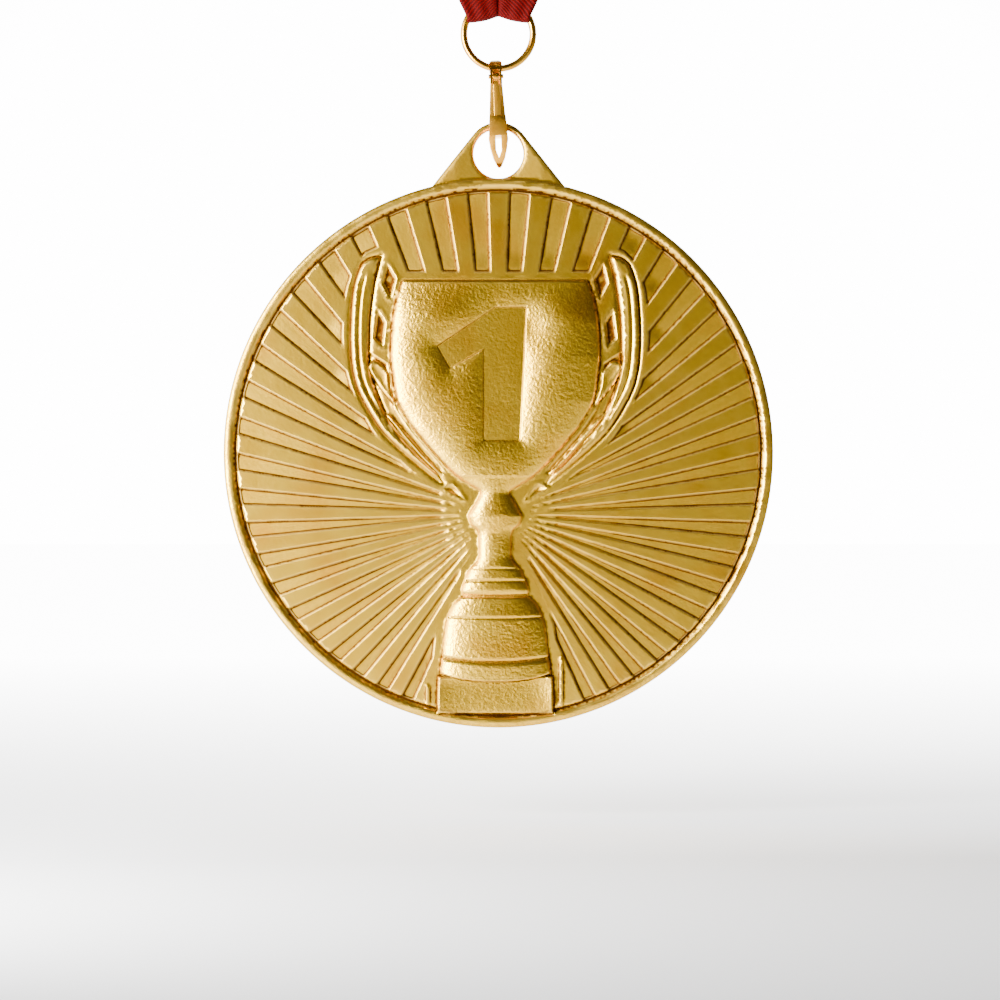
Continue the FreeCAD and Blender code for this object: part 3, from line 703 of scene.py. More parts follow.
def antique_gold():
    material = new_material("antique_gold_plate_on_cast_zinc")
    tree = material.node_tree
    where = add(tree, "ShaderNodeTexCoord").outputs["Object"]
    patina_and_base_shade = add(tree, "ShaderNodeAttribute", {"attribute_name": "patina_and_base_shade"}).outputs["Fac"]
    raised = add(tree, "ShaderNodeAttribute", {"attribute_name": "raised"}).outputs["Fac"]
    raised = add(tree, "ShaderNodeMath", {"operation": "MULTIPLY"}, _0=raised, _1=0.25).outputs[0]
    drift = add(tree, "ShaderNodeTexNoise", Vector=where, Scale=PER_MM / 9, Detail=3.0).outputs["Fac"]
    speck = add(tree, "ShaderNodeTexNoise", Vector=where, Scale=PER_MM / 0.5, Detail=2.0).outputs["Fac"]
    tone = ramp_node(tree, drift, [(0.3, "#DAA81A"), (0.5, "#E2B426"), (0.72, "#D99E16")]).outputs[0]
    dark = add(tree, "ShaderNodeMath", {"operation": "MULTIPLY_ADD"}, _0=speck, _1=0.2, _2=patina_and_base_shade).outputs[0]
    dark = add(tree, "ShaderNodeMapRange", Value=dark, From_Min=0.22, From_Max=0.95).outputs[0]
    colour = add(tree, "ShaderNodeMix", {"data_type": "RGBA"}, _0=dark, _6=tone,
                 _7=hex_colour("#4A2804")).outputs[2]
    colour = add(tree, "ShaderNodeMix", {"data_type": "RGBA"}, _0=raised, _6=colour,
                 _7=hex_colour("#F2CC66")).outputs[2]
    rough = add(tree, "ShaderNodeMapRange", Value=dark, To_Min=0.29, To_Max=0.6).outputs[0]
    sand = add(tree, "ShaderNodeTexNoise", Vector=where, Scale=PER_MM / 0.32, Detail=2.0).outputs["Fac"]
    hammered = add(tree, "ShaderNodeAttribute", {"attribute_name": "hammered"}).outputs["Fac"]
    relief = add(tree, "ShaderNodeMapRange", Value=hammered, To_Min=0.3, To_Max=1.0).outputs[0]
    bump = add(tree, "ShaderNodeBump", Height=sand, Strength=relief, Distance=0.00006).outputs[0]
    shader = add(tree, "ShaderNodeBsdfPrincipled", Base_Color=colour, Metallic=1.0, Roughness=rough, Normal=bump)
    finish_material(tree, shader)
    return material


def bright_gold(name, roughness):
    """Bright gold plate on drawn wire or pressed sheet: smoother and yellower than the disc."""
    material = new_material(name)
    tree = material.node_tree
    where = add(tree, "ShaderNodeTexCoord").outputs["Object"]
    mottle = add(tree, "ShaderNodeTexNoise", Vector=where, Scale=PER_MM / 2.5, Detail=2.0).outputs["Fac"]
    tone = ramp_node(tree, mottle, [(0.35, "#DB9416"), (0.65, "#E8AE38")]).outputs[0]
    bump = add(tree, "ShaderNodeBump", Height=mottle, Strength=0.25, Distance=0.0001).outputs[0]
    shader = add(tree, "ShaderNodeBsdfPrincipled", Base_Color=tone, Metallic=1.0, Roughness=roughness, Normal=bump)
    finish_material(tree, shader)
    return material


gold = antique_gold()
wire_gold = bright_gold("bright_gold_plate_on_drawn_wire", 0.22)
sheet_gold = bright_gold("bright_gold_plate_on_pressed_sheet", 0.26)
medal.data.materials.append(gold)
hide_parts("medal_disc")
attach(medal, "medal")

# %% [markdown]
# ## Running a tree and keeping its mesh
# A Geometry Nodes tree is a recipe with named inputs. Each input is set by its socket's identifier before the
# object is first evaluated. The result is then copied into a plain mesh, because the export keeps only meshes.

# %% Geometry Nodes helpers
def new_recipe(name, **sizes):
    """A tree with a Geometry output and one named input for each size."""
    tree = bpy.data.node_groups.new(name, "GeometryNodeTree")
    tree.interface.new_socket("Geometry", in_out="OUTPUT", socket_type="NodeSocketGeometry")
    for key, kind in sizes.items():
        tree.interface.new_socket(key.replace("_", " "), in_out="INPUT", socket_type="NodeSocket" + kind)
    return tree, add(tree, "NodeGroupInput").outputs


def end_recipe(tree, geometry, material):
    real = add(tree, "GeometryNodeRealizeInstances", Geometry=geometry).outputs[0]
    done = add(tree, "GeometryNodeSetMaterial", Geometry=real, Material=material).outputs[0]
    add(tree, "NodeGroupOutput", Geometry=done)


def bake_recipe(name, tree, **values):
    """Runs the tree with these values and returns a plain mesh object."""
    holder = bpy.data.objects.new(name, bpy.data.meshes.new(name + "_seed"))
    bpy.context.scene.collection.objects.link(holder)
    modifier = holder.modifiers.new("recipe", "NODES")
    modifier.node_group = tree
    for item in tree.interface.items_tree:
        key = item.name.replace(" ", "_")
        if item.in_out == "INPUT" and key in values:
            modifier[item.identifier] = values[key]
    bpy.context.view_layer.update()
    seen = holder.evaluated_get(bpy.context.evaluated_depsgraph_get())
    mesh = bpy.data.meshes.new_from_object(seen)
    holder.modifiers.clear()
    holder.data = mesh
    mesh.shade_smooth()
    print(f"{name}: {len(mesh.polygons)} faces")
    return holder


# %% [markdown]
# ## The wire ring
# A jump ring is one turn of wire, cut from a coil and closed so that its ends butt. An arc that stops just short
# of a full turn, swept with a round profile and capped, gives the ring and the fine gap between its ends. The gap
# is turned up into the ribbon, where a careful maker hides it.

# %% Ring
ring_low, ring_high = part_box("ring")
wire = (ring_high.y - ring_low.y) / 2
ring_radius = (ring_high.x - ring_low.x) / 2 - wire
ring_centre = (ring_low + ring_high) / 2

ring_tree, given = new_recipe("one_turn_of_wire", Ring_radius="Float", Wire_radius="Float", Gap="Float",
                              Centre="Vector")
sweep = add(ring_tree, "ShaderNodeMath", {"operation": "SUBTRACT"}, _0=2 * math.pi, _1=given["Gap"]).outputs[0]
turn = add(ring_tree, "GeometryNodeCurveArc", Resolution=128, Radius=given["Ring radius"],
           Start_Angle=math.pi / 2 + 0.2, Sweep_Angle=sweep).outputs["Curve"]
profile = add(ring_tree, "GeometryNodeCurvePrimitiveCircle", Resolution=24, Radius=given["Wire radius"]).outputs[0]
swept = add(ring_tree, "GeometryNodeCurveToMesh", Curve=turn, Profile_Curve=profile, Fill_Caps=True).outputs[0]
upright = add(ring_tree, "GeometryNodeTransform", Geometry=swept, Translation=given["Centre"],
              Rotation=(math.pi / 2, 0, 0)).outputs[0]
end_recipe(ring_tree, upright, wire_gold)
ring = bake_recipe("jump_ring", ring_tree, Ring_radius=ring_radius, Wire_radius=wire, Gap=0.02,
                   Centre=ring_centre)
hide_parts("ring")
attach(ring, "ring")

# %% [markdown]
# ## The spring clip
# The clip is pressed and folded from sheet, then tumbled, which rounds all its edges before it is plated. The CAD
# pieces have the right shape with sharp edges. A merged copy of each gets a small bevel in three steps, so its
# edges catch a line of light as the real ones do. The clip leans a little. It is turned about the saddle that the
# lug hangs on, so that the medal still swings clear of it.

# %% Clip pieces
SADDLE_HEIGHT, LEAN_DEGREES = 40.05, -2.3
SADDLE = Vector((0, 0, (SADDLE_HEIGHT + CENTRE_Z) * MM))
lean = Matrix.Rotation(math.radians(LEAN_DEGREES), 4, "Y")
CLIP_LEAN = Matrix.Translation(SADDLE) @ lean @ Matrix.Translation(-SADDLE)


def tumbled(node, name, width, body):
    """A copy of a CAD node with rounded edges, leaning as it hangs."""
    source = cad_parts[node]
    mesh = source.data.copy()
    mesh.transform(CLIP_LEAN @ source.matrix_world)
    bm = bmesh.new()
    bm.from_mesh(mesh)
    bmesh.ops.remove_doubles(bm, verts=bm.verts, dist=2e-6)
    bmesh.ops.dissolve_limit(bm, angle_limit=math.radians(4), verts=bm.verts, edges=bm.edges)
    sharp = [e for e in bm.edges if len(e.link_faces) == 2 and e.calc_face_angle() > math.radians(28)]
    bmesh.ops.bevel(bm, geom=sharp, offset=width * MM, offset_type="OFFSET", segments=3, profile=0.5,
                    affect="EDGES", clamp_overlap=True)
    bmesh.ops.recalc_face_normals(bm, faces=bm.faces)
    bmesh.ops.triangulate(bm, faces=bm.faces)
    bm.to_mesh(mesh)
    bm.free()
    mesh.materials.clear()
    mesh.materials.append(sheet_gold)
    mesh.shade_smooth()
    mesh.set_sharp_from_angle(angle=math.radians(50))
    obj = bpy.data.objects.new(name, mesh)
    bpy.context.scene.collection.objects.link(obj)
    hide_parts(node)
    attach(obj, body)
    print(f"{name}: {len(mesh.polygons)} faces")


tumbled("clip_body", "spring_clip", 0.22, "clip")
tumbled("clip_rivet", "clip_pivot_pin", 0.05, "clip")
tumbled("clip_gate", "clip_spring_leaf", 0.05, "gate")

# %% [markdown]
# ## The ribbon as one ladder of rows
# A neck ribbon is one long woven strip. Its two ends are laid side by side, gathered, taken round the ring and
# tacked, so they make a V above it. The rest is folded up flat for the shelf. It is made as a ladder: each rung is
# a row of points across the strip, and the rungs follow the strip from one end to the other. A woven strip bends
# but doesn't stretch, so each fold is a real bend of the flat strip round a line. The second value kept for each
# point is its place on the flat strip, which carries the weave.

# %% Ribbon sizes
WIDTH, THICK, COLUMNS = 15.0, 0.34, 12
LEAN = math.radians(29)
ALONG = np.array([math.sin(LEAN), math.cos(LEAN)])
ACROSS = np.array([-math.cos(LEAN), math.sin(LEAN)])
TIP_HALF = 7.3
TIP_TOP = -43.0
SEAM_TOP = -25.3
FOLD_FROM, FOLD_TO = np.array([31.4, 0.4]), np.array([22.56, 15.4])
FOLD_BEND = 0.23
HANK_LOW = 0.4
PITCH = 2 * FOLD_BEND
SEAM = 0.004
corner = np.array([TIP_HALF, TIP_TOP])
columns = np.linspace(0, 1, COLUMNS)


def flat_place(points):
    """Where points of the leg's own plane lie on the flat strip, as (across, along)."""
    away = points - corner
    return np.column_stack([away @ ACROSS, away @ ALONG])


def bend(points, towards):
    """Folds the part of the leg's plane beyond the fold line, to the back (1) or to the front (-1)."""
    run = (FOLD_TO - FOLD_FROM) / np.linalg.norm(FOLD_TO - FOLD_FROM)
    out = np.array([run[1], -run[0]])
    t = (points - FOLD_FROM) @ out
    turn = np.clip(t / FOLD_BEND, 0, math.pi)
    straight_on = np.maximum(t - math.pi * FOLD_BEND, 0)
    shifted = np.where(t > 0, FOLD_BEND * np.sin(turn) - straight_on, t)
    depth = np.where(t > 0, FOLD_BEND * (1 - np.cos(turn)), 0) * towards
    flat = points + np.outer(shifted - t, out)
    return np.column_stack([flat[:, 0], depth, flat[:, 1]])


# %% [markdown]
# ## The gathered tip
# Fifteen millimetres of ribbon have to pass a ring less than nine wide, so each half is drawn together into soft
# pleats. It goes down in front of the wire, turns up behind it and is tacked through all layers just above.
# Its depth swells to clear the wire and closes at the tack. The lower edge dips on each side of the middle.

# %% Tip rows
TIP_LOW = -49.45
WIRE_ROOM = 0.78


def tip_half(z):
    """Half-width of the gathered ribbon at a height."""
    return np.interp(z, [-49.5, -48.6, -46.8, -45.0, TIP_TOP], [3.55, 4.1, 5.0, 5.9, TIP_HALF])


def tip_row(z, angle, lift):
    """One row: at an angle round the bottom turn (0 back, pi front), or straight above it."""
    half = tip_half(z)
    x = half * (1 - columns) + SEAM
    swell = WIRE_ROOM * (1 - ease((z + 46.3) / 2.6)) + 0.2 * ease((z + 46.3) / 2.6)
    swell *= 1 - ease((z + 44.2) / 1.3) * (1 if angle > 1.6 else -0.15)
    pleat = 0.1 * np.sin(columns * 14.5 + 0.5 + z * 0.12) * (1 - ease((z + 45.0) / 2.2)) * math.sin(angle / 2)
    crease = 0.3 * np.exp(-(x / 0.55)**2) * (1 - ease((z + 45.5) / 2))
    y = -np.cos(angle + math.pi) * (swell + pleat - crease * swell)
    rise = 0.75 * np.exp(-(x / 1.5)**1.4) - 0.12 * (x / half)**2
    zs = z - WIRE_ROOM * 0.9 * math.sin(angle) + rise * (1 - ease((z + 49.0) / 3.2))
    return np.column_stack([x, y, zs + lift])


def tip_rows():
    """Rows from the ribbon's end behind the ring, round its foot, and up to the leg."""
    low = TIP_LOW + WIRE_ROOM * 0.9
    rows = [tip_row(z, 0.0, 0) for z in np.linspace(-44.0, low, 14)]
    rows += [tip_row(low, a, 0) for a in np.linspace(0, math.pi, 11)[1:-1]]
    rows += [tip_row(z, math.pi, 0) for z in np.linspace(low, TIP_TOP, 18)]
    return rows


# %% Leg rows
def leg_rows(towards):
    """Rows of one leg, from the tip to just past the fold at the top, with their places on the flat strip."""
    rows, places = [], []

    def rung(outer, inner):
        points = outer + columns[:, None] * (inner - outer)
        rows.append(bend(points, towards))
        places.append(flat_place(points))

    first_inner = corner + ACROSS * TIP_HALF / math.cos(LEAN)
    for t in np.linspace(0, 1, 8)[1:]:
        rung(corner + ALONG * 1.2 * t, np.array([SEAM, TIP_TOP + (first_inner[1] + 1.37 - TIP_TOP) * t]))
    seam_end = (WIDTH - TIP_HALF / math.cos(LEAN)) / math.tan(LEAN)
    for s in np.linspace(1.2, seam_end, 12)[1:]:
        outer = corner + ALONG * s
        reach = min(WIDTH, (outer[0] - SEAM) / math.cos(LEAN))
        rung(outer, outer + ACROSS * reach)
    start_outer = corner + ALONG * seam_end
    start_inner = start_outer + ACROSS * WIDTH
    for t in np.linspace(0, 1, 26)[1:]:
        rung(start_outer + (FOLD_FROM - start_outer) * t, start_inner + (FOLD_TO - start_inner) * t)
    out = np.array([FOLD_TO[1] - FOLD_FROM[1], -(FOLD_TO[0] - FOLD_FROM[0])]) / np.linalg.norm(FOLD_TO - FOLD_FROM)
    stretch = 1 / (out @ ALONG)
    for t in np.linspace(0, math.pi * FOLD_BEND, 9)[1:]:
        rung(FOLD_FROM + ALONG * t * stretch, FOLD_TO + ALONG * t * stretch)
    return rows, places


# %% [markdown]
# ## The folded length
# The strip runs to and fro behind the legs, and the left leg's own run passes in front and goes round the whole
# bundle. That is the only order in which a loop can be folded up without passing through itself. The plan below
# is a line seen from above; each point on it becomes a row as tall as the ribbon is wide.

# %% Folded length
def plan_turn(centre, radius, start, end):
    """A half turn of the bundle, seen from above."""
    return [(centre[0] + radius * math.cos(a), centre[1] + radius * math.sin(a))
            for a in np.linspace(start, end, max(8, int(radius * 14)))]


TURN_X, INNER_TURN, LAYERS = 35.6, 0.985, 8
LEG_JOIN, LONGEST_STEP = 20.0, 2.4
plan = [(LEG_JOIN, PITCH)]
way = -1
for layer in range(1, LAYERS):
    centre = (way * TURN_X * (1 if layer % 2 else INNER_TURN), PITCH * (layer + 0.5))
    plan += plan_turn(centre, PITCH / 2, -math.pi / 2, -math.pi / 2 + way * math.pi)
    way = -way
wrap = (LAYERS * PITCH + PITCH) / 2
plan += plan_turn((TURN_X * INNER_TURN, LAYERS * PITCH - wrap), wrap, math.pi / 2, -math.pi / 2)
plan.append((-LEG_JOIN, -PITCH))
plan = straight(plan, LONGEST_STEP, closed=False)
plan = plan[np.append(True, np.linalg.norm(np.diff(plan, axis=0), axis=1) > 1e-6)]
plan_length = np.append(0, np.cumsum(np.linalg.norm(np.diff(plan, axis=0), axis=1)))
right_rows, right_places = leg_rows(1)
left_rows, left_places = leg_rows(-1)
tip = tip_rows()
tip_places = []
travel = -sum(np.linalg.norm(b[5] - a[5]) for a, b in zip(tip, tip[1:]))
for i, row in enumerate(tip):
    if i:
        travel += np.linalg.norm(row[5] - tip[i - 1][5])
    start = flat_place(np.column_stack([TIP_HALF * (1 - columns), np.full(COLUMNS, TIP_TOP)]))
    tip_places.append(start + [0, travel])
fold_exit = right_places[-1][:, 1].mean() + right_rows[-1][:, 0].mean() - plan[0, 0]
hank_rows, hank_places = [], []
for (x, y), s in zip(plan, plan_length):
    sway = 0.12 * math.sin(s * 0.045) + 0.18 * math.sin(s * 0.0173 + 1)
    ease_in = min(1, s / 40, (plan_length[-1] - s) / 40)
    hank_rows.append(np.column_stack([np.full(COLUMNS, x), np.full(COLUMNS, y),
                                      HANK_LOW + WIDTH * columns + sway * ease_in]))
    hank_places.append(np.column_stack([WIDTH * columns, np.full(COLUMNS, fold_exit + s)]))


def other_side(rows):
    """The same rows on the left, from the leg down to the tip."""
    return [row * [-1, 1, 1] for row in reversed(rows)]


end_at = hank_places[-1][:, 1].mean() + left_places[-1][:, 1].mean() + left_rows[-1][:, 0].mean() - LEG_JOIN
all_rows = tip + right_rows + hank_rows + other_side(left_rows) + other_side(tip)
all_places = tip_places + right_places + hank_places
all_places += [np.column_stack([p[:, 0], end_at - p[:, 1]]) for p in reversed(tip_places + left_places)]


# %% Ribbon mesh
def strip_mesh(name, rows, places, thickness):
    """A closed strip with its flat coordinates as a UV map in millimetres."""
    grid, flat = np.array(rows), np.array(places)
    lengthwise = np.gradient(grid, axis=0)
    crosswise = np.gradient(grid, axis=1)
    up = np.cross(lengthwise, crosswise)
    up /= np.linalg.norm(up, axis=2)[:, :, None] + 1e-12
    n, m = grid.shape[:2]
    verts = np.concatenate([(grid + up * thickness / 2).reshape(-1, 3),
                            (grid - up * thickness / 2).reshape(-1, 3)]) * MM
    under = n * m
    faces = []
    for i in range(n - 1):
        for j in range(m - 1):
            k = i * m + j
            faces.append((k, k + m, k + m + 1, k + 1))
            faces.append((k + under, k + 1 + under, k + m + 1 + under, k + m + under))
        for j, flip in ((0, False), (m - 1, True)):
            k = i * m + j
            quad = (k, k + under, k + m + under, k + m)
            faces.append(quad[::-1] if flip else quad)
    for i, flip in ((0, True), (n - 1, False)):
        for j in range(m - 1):
            k = i * m + j
            quad = (k, k + under, k + 1 + under, k + 1)
            faces.append(quad[::-1] if flip else quad)
    obj = mesh_object(name, verts, faces)
    uv = obj.data.uv_layers.new(name="weave")
    flat_all = np.concatenate([flat.reshape(-1, 2)] * 2)
    for loop in obj.data.loops:
        uv.data[loop.index].uv = flat_all[loop.vertex_index]
    shell = bmesh.new()
    shell.from_mesh(obj.data)
    if shell.calc_volume(signed=True) < 0:
        bmesh.ops.reverse_faces(shell, faces=shell.faces)
        shell.to_mesh(obj.data)
    loose = sum(len(e.link_faces) != 2 for e in shell.edges)
    print(f"{name}: volume {shell.calc_volume() / MM**3:.0f} mm3, open edges {loose}")
    shell.free()
    return obj


ribbon = strip_mesh("neck_ribbon", all_rows, all_places, THICK)

# %% [markdown]
# ## Ribbed woven polyester
# Grosgrain has a fine warp over thick weft cords, so it shows ribs straight across its width, and catches the
# light rib by rib. The ribs are a wave along the strip's flat coordinates, which follow every fold. Fine ribs of
# about 0.4 mm are drawn 0.47 mm apart, so that they show from an arm's length. A trace of fibre sheen keeps a soft
# light at glancing angles, and the dye is a deep red, painted darker in the rib hollows and lighter on the crests
# as painted shade and painted highlight.

# %% Ribbon material
RIB = 0.47


def woven_red():
    """Ribs across the strip, broken up by single threads."""
    material = new_material("ribbed_woven_red_polyester")
    tree = material.node_tree
    flat = add(tree, "ShaderNodeUVMap", {"uv_map": "weave"}).outputs["UV"]
    axes = add(tree, "ShaderNodeSeparateXYZ", Vector=flat).outputs
    phase = add(tree, "ShaderNodeMath", {"operation": "MULTIPLY"}, _0=axes["Y"], _1=2 * math.pi / RIB).outputs[0]
    wobble = add(tree, "ShaderNodeTexNoise", Vector=flat, Scale=0.9, Detail=2.0).outputs["Fac"]
    shifted = add(tree, "ShaderNodeMath", {"operation": "MULTIPLY_ADD"}, _0=wobble, _1=2.2, _2=phase).outputs[0]
    ribs = add(tree, "ShaderNodeMath", {"operation": "SINE"}, _0=shifted).outputs[0]
    height = add(tree, "ShaderNodeMapRange", Value=ribs, From_Min=-1.0).outputs[0]
    threads = add(tree, "ShaderNodeTexNoise", Vector=flat, Scale=5.0, Detail=3.0).outputs["Fac"]
    both = add(tree, "ShaderNodeMath", {"operation": "MULTIPLY_ADD"}, _0=threads, _1=0.5, _2=height).outputs[0]
    bump = add(tree, "ShaderNodeBump", Height=both, Strength=0.55, Distance=0.00007).outputs[0]
    # Painted shade and painted highlight: the red is darker in the rib hollows and lighter on the rib crests.
    tone = ramp_node(tree, height, [(0.0, "#300000"), (0.55, "#440000"), (1.0, "#520000")]).outputs[0]
    shader = add(tree, "ShaderNodeBsdfPrincipled", Base_Color=tone, Roughness=0.72, Normal=bump,
                 Specular_IOR_Level=0.06, Sheen_Weight=0.02, Sheen_Roughness=0.4,
                 Sheen_Tint=hex_colour("#FF6A5A"))
    finish_material(tree, shader)
    return material


red = woven_red()
ribbon.data.materials.append(red)
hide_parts("ribbon_left_leg", "ribbon_right_leg", "ribbon_ring_fold", "ribbon_folded_length")
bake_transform(ribbon)

# %% [markdown]
# ## The turned-in corners of the V
# Where the two legs meet, each one is wider than the room it has, so its inner corner is turned under along the
# seam. From behind these corners show as two triangles. Each is a thin panel of the same cloth, and the right one
# reaches a little past the seam, so that no light shows through it.

# %% Turned-in corners
def corner_panel(side):
    """The cloth beyond the seam, mirrored back on to its own leg: side is 1 on the right, -1 on the left."""
    start = -0.3 if side > 0 else 0.35
    foot = np.array([start, TIP_TOP + 1.5])
    peak = np.array([start, SEAM_TOP - 0.4])
    far = np.array([5.6, -36.0])
    rows, places = [], []
    for t in np.linspace(0, 1, 15):
        if t < 0.45:
            outer = foot + (far - foot) * (t / 0.45)
        else:
            outer = far + (peak - far) * ((t - 0.45) / 0.55)
        inner = foot + (peak - foot) * t
        if t in (0, 1):
            outer = inner + [0.12, 0]
        points = inner + np.linspace(0, 1, 5)[:, None] * (outer - inner)
        lift = THICK + 0.05 + 0.08 * math.sin(t * math.pi) * np.linspace(0, 1, 5)
        rows.append(np.column_stack([side * points[:, 0], lift, points[:, 1]]))
        places.append(flat_place(points * [-1, 1]))
    panel = strip_mesh(f"turned_in_corner_{'left' if side < 0 else 'right'}", rows, places, THICK * 0.8)
    panel.data.materials.append(red)
    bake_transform(panel)
    return panel


corners = [corner_panel(side) for side in (1, -1)]

# %% [markdown]
# ## Stitches
# Sewing repeats one short stitch along a line, which is just what instancing on points is for. The recipe puts
# points on a line, sets a small lozenge of thread on each one, turned to the stitch's slant, and makes them real.

# %% Stitches
red_thread = new_material("red_sewing_thread")
tree = red_thread.node_tree
where = add(tree, "ShaderNodeTexCoord").outputs["Object"]
ply = add(tree, "ShaderNodeTexNoise", Vector=where, Scale=PER_MM / 0.3, Detail=2.0).outputs["Fac"]
tone = ramp_node(tree, ply, [(0.3, "#6E0206"), (0.7, "#9A060A")]).outputs[0]
finish_material(tree, add(tree, "ShaderNodeBsdfPrincipled", Base_Color=tone, Roughness=0.6))

stitch_tree, given = new_recipe("row_of_stitches", First="Vector", Step="Vector", Count="Int", Size="Vector",
                                Slant="Vector")
row = add(stitch_tree, "GeometryNodeMeshLine", Count=given["Count"], Start_Location=given["First"],
          Offset=given["Step"]).outputs[0]
bead = add(stitch_tree, "GeometryNodeMeshUVSphere", Segments=8, Rings=6, Radius=1.0).outputs[0]
placed = add(stitch_tree, "GeometryNodeInstanceOnPoints", Points=row, Instance=bead, Scale=given["Size"],
             Rotation=given["Slant"]).outputs[0]
end_recipe(stitch_tree, placed, red_thread)


def stitches(name, node, body, **values):
    """One row of stitches that stands for a CAD node of threads."""
    sewn = bake_recipe(name, stitch_tree, **values)
    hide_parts(node)
    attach(sewn, body)


stitches("seam_stitches", "mitre_stitches", "ribbon", First=(0, THICK * 0.5 * MM, -0.0415), Step=(0, 0, 0.00135),
         Count=12, Size=(0.00016, 0.0002, 0.00052), Slant=(0, 0.1, 0))
stitches("bar_tack", "bar_tack_stitches", "ring", First=(-0.0045, -0.00033, -0.04485), Step=(0.00045, 0, 0),
         Count=21, Size=(0.00013, 0.00016, 0.00036), Slant=(0, 0.35, 0))

# %% [markdown]
# ## The paper band
# A strip of white paper holds the folded length together. It is a closed loop with rounded corners, wrapped round
# the bundle and glued to itself, so one end overlaps the other at the back.

# %% Paper band
def rounded_loop(low, high, radius):
    """A closed loop with rounded corners, seen from the side, as (y, z)."""
    points = []
    for cy, cz, start in ((high[0] - radius, high[1] - radius, 0), (low[0] + radius, high[1] - radius, 90),
                          (low[0] + radius, low[1] + radius, 180), (high[0] - radius, low[1] + radius, 270)):
        for a in np.radians(np.linspace(start, start + 90, 6)):
            points.append((cy + radius * math.cos(a), cz + radius * math.sin(a)))
    return points


paper = new_material("plain_white_paper")
tree = paper.node_tree
where = add(tree, "ShaderNodeTexCoord").outputs["Object"]
fibre = add(tree, "ShaderNodeTexNoise", Vector=where, Scale=PER_MM / 0.6, Detail=4.0).outputs["Fac"]
tone = ramp_node(tree, fibre, [(0.3, "#E6E2D8"), (0.7, "#F1EEE7")]).outputs[0]
bump = add(tree, "ShaderNodeBump", Height=fibre, Strength=0.3, Distance=0.00005).outputs[0]
finish_material(tree, add(tree, "ShaderNodeBsdfPrincipled", Base_Color=tone, Roughness=0.85, Normal=bump))

PAPER, HALF_BAND, OVERLAP = 0.14, 5.0, 6
ROOM_ROUND, ROOM_OVER = 0.12, 0.35
near_y, far_y = -PITCH - THICK / 2 - ROOM_ROUND, PITCH * LAYERS + THICK / 2 + ROOM_ROUND
loop = rounded_loop((near_y, HANK_LOW - ROOM_OVER), (far_y, HANK_LOW + WIDTH + ROOM_OVER), 0.5)
outside = loop[0][0] + PAPER * 1.3
loop = loop + [(outside, loop[0][1]), (outside, loop[0][1] - OVERLAP)]
band_rows = [[(x, y, z) for x in np.linspace(-HALF_BAND, HALF_BAND, 5)] for y, z in loop]
band = strip_mesh("paper_band", band_rows, [[(0, 0)] * 5] * len(loop), PAPER)
band.data.materials.append(paper)
band.data.shade_flat()
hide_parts("ribbon_tie")
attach(band, "ribbon")

# %% [markdown]
# ## Floor, backdrop and light
# Metal shows what it reflects, so it needs a bright side and a dim side. A large soft window on the left and a
# narrow one close to the medal give the relief its light edges and its fall of light from left to right. The room
# is dim on the viewer's side and pale behind the medal, with a bright screen straight behind it. The floor glows
# towards that screen. Floor and lamps are only there for the view.

# %% Stage
FLOOR_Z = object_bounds()[0].z - 0.012
world = bpy.data.worlds.new("pale_room")
bpy.context.scene.world = world
world.use_nodes = True
tree = world.node_tree
towards = add(tree, "ShaderNodeTexCoord").outputs["Generated"]
depth = add(tree, "ShaderNodeSeparateXYZ", Vector=towards).outputs["Y"]
room = add(tree, "ShaderNodeMapRange", Value=depth, From_Min=-0.1, From_Max=0.6, To_Min=0.06,
           To_Max=1.2).outputs[0]
screen = add(tree, "ShaderNodeMapRange", Value=depth, From_Min=0.95, From_Max=0.985, To_Min=0.0,
             To_Max=14.0).outputs[0]
strength = add(tree, "ShaderNodeMath", {"operation": "ADD"}, _0=room, _1=screen).outputs[0]
background = tree.nodes["Background"]
background.inputs["Color"].default_value = hex_colour("#FFFFFF")
tree.links.new(strength, background.inputs["Strength"])

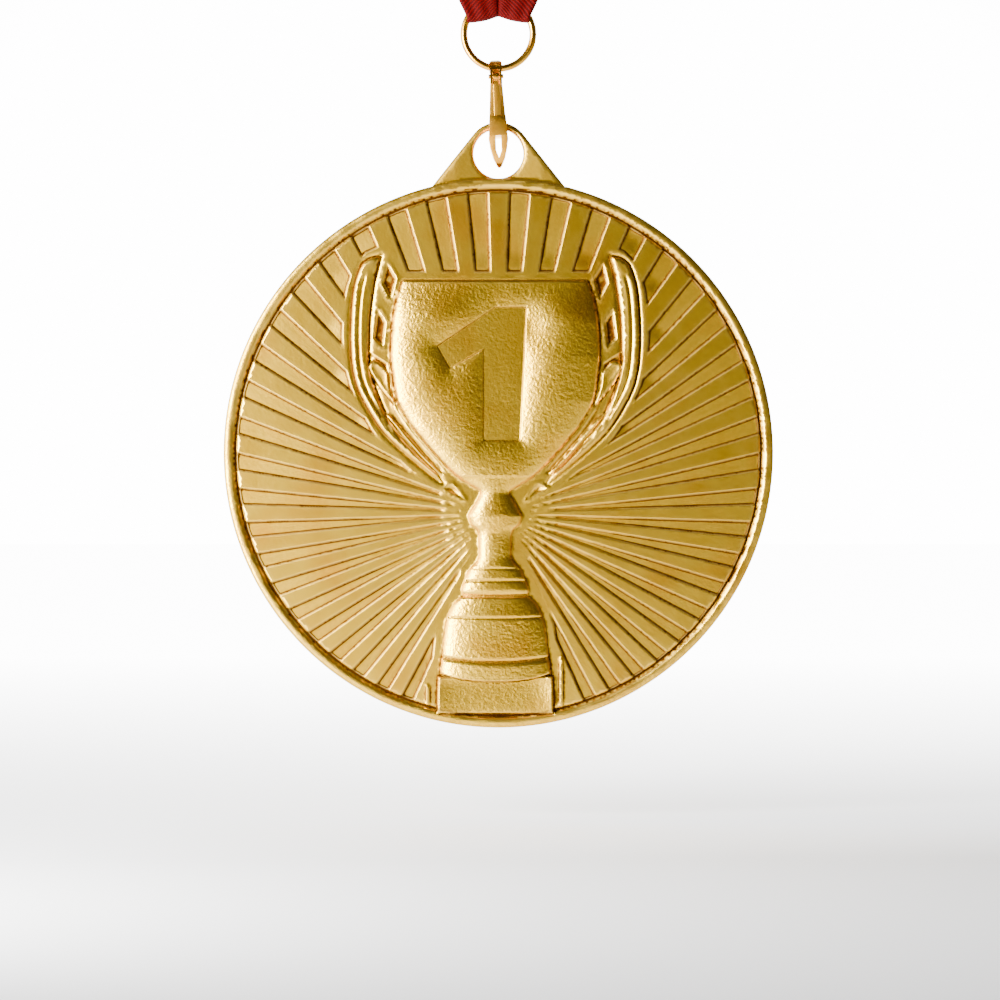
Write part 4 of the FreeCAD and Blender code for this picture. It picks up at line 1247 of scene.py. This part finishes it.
floor = mesh_object("studio_floor", [(-3, -3, FLOOR_Z), (3, -3, FLOOR_Z), (3, 3, FLOOR_Z), (-3, 3, FLOOR_Z)],
                    [(0, 1, 2, 3)], smooth=False)
floor_paint = new_material("white_studio_floor")
tree = floor_paint.node_tree
where = add(tree, "ShaderNodeTexCoord").outputs["Object"]
axes = add(tree, "ShaderNodeSeparateXYZ", Vector=where).outputs
aside = add(tree, "ShaderNodeMath", {"operation": "ABSOLUTE"}, _0=axes["X"]).outputs[0]
beyond = add(tree, "ShaderNodeMath", {"operation": "ADD"}, _0=axes["Y"], _1=0.5).outputs[0]
ratio = add(tree, "ShaderNodeMath", {"operation": "DIVIDE"}, _0=aside, _1=beyond).outputs[0]
strip = add(tree, "ShaderNodeMapRange", Value=ratio, From_Min=0.16, From_Max=0.32, To_Min=1.0,
            To_Max=0.0).outputs[0]
glow = add(tree, "ShaderNodeMapRange", Value=axes["Y"], From_Min=-0.05, From_Max=0.5, To_Min=0.1,
           To_Max=13.0).outputs[0]
glow = add(tree, "ShaderNodeMath", {"operation": "MULTIPLY"}, _0=glow, _1=strip).outputs[0]
finish_material(tree, add(tree, "ShaderNodeBsdfPrincipled", Base_Color=hex_colour("#F4F4F4"), Roughness=0.9,
                          Emission_Color=hex_colour("#FFFFFF"), Emission_Strength=glow))
floor.data.materials.append(floor_paint)


MEDAL = (0, 0, CENTRE_Z * MM)


def lamp(name, place, size, watts):
    """A soft white rectangular lamp that points at the medal. The camera doesn't see it."""
    data = bpy.data.lights.new(name, "AREA")
    data.shape = "RECTANGLE"
    data.size, data.size_y = size
    data.energy = watts
    obj = bpy.data.objects.new(name, data)
    obj.location = place
    obj.rotation_euler = (Vector(MEDAL) - Vector(place)).to_track_quat("-Z", "Y").to_euler()
    bpy.context.scene.collection.objects.link(obj)
    obj.visible_camera = False


lamp("left_window", (-0.36, -0.10, -0.09), (0.2, 0.4), 3.6)
lamp("near_left_strip", (-0.125, -0.125, -0.09), (0.05, 0.14), 1.9)
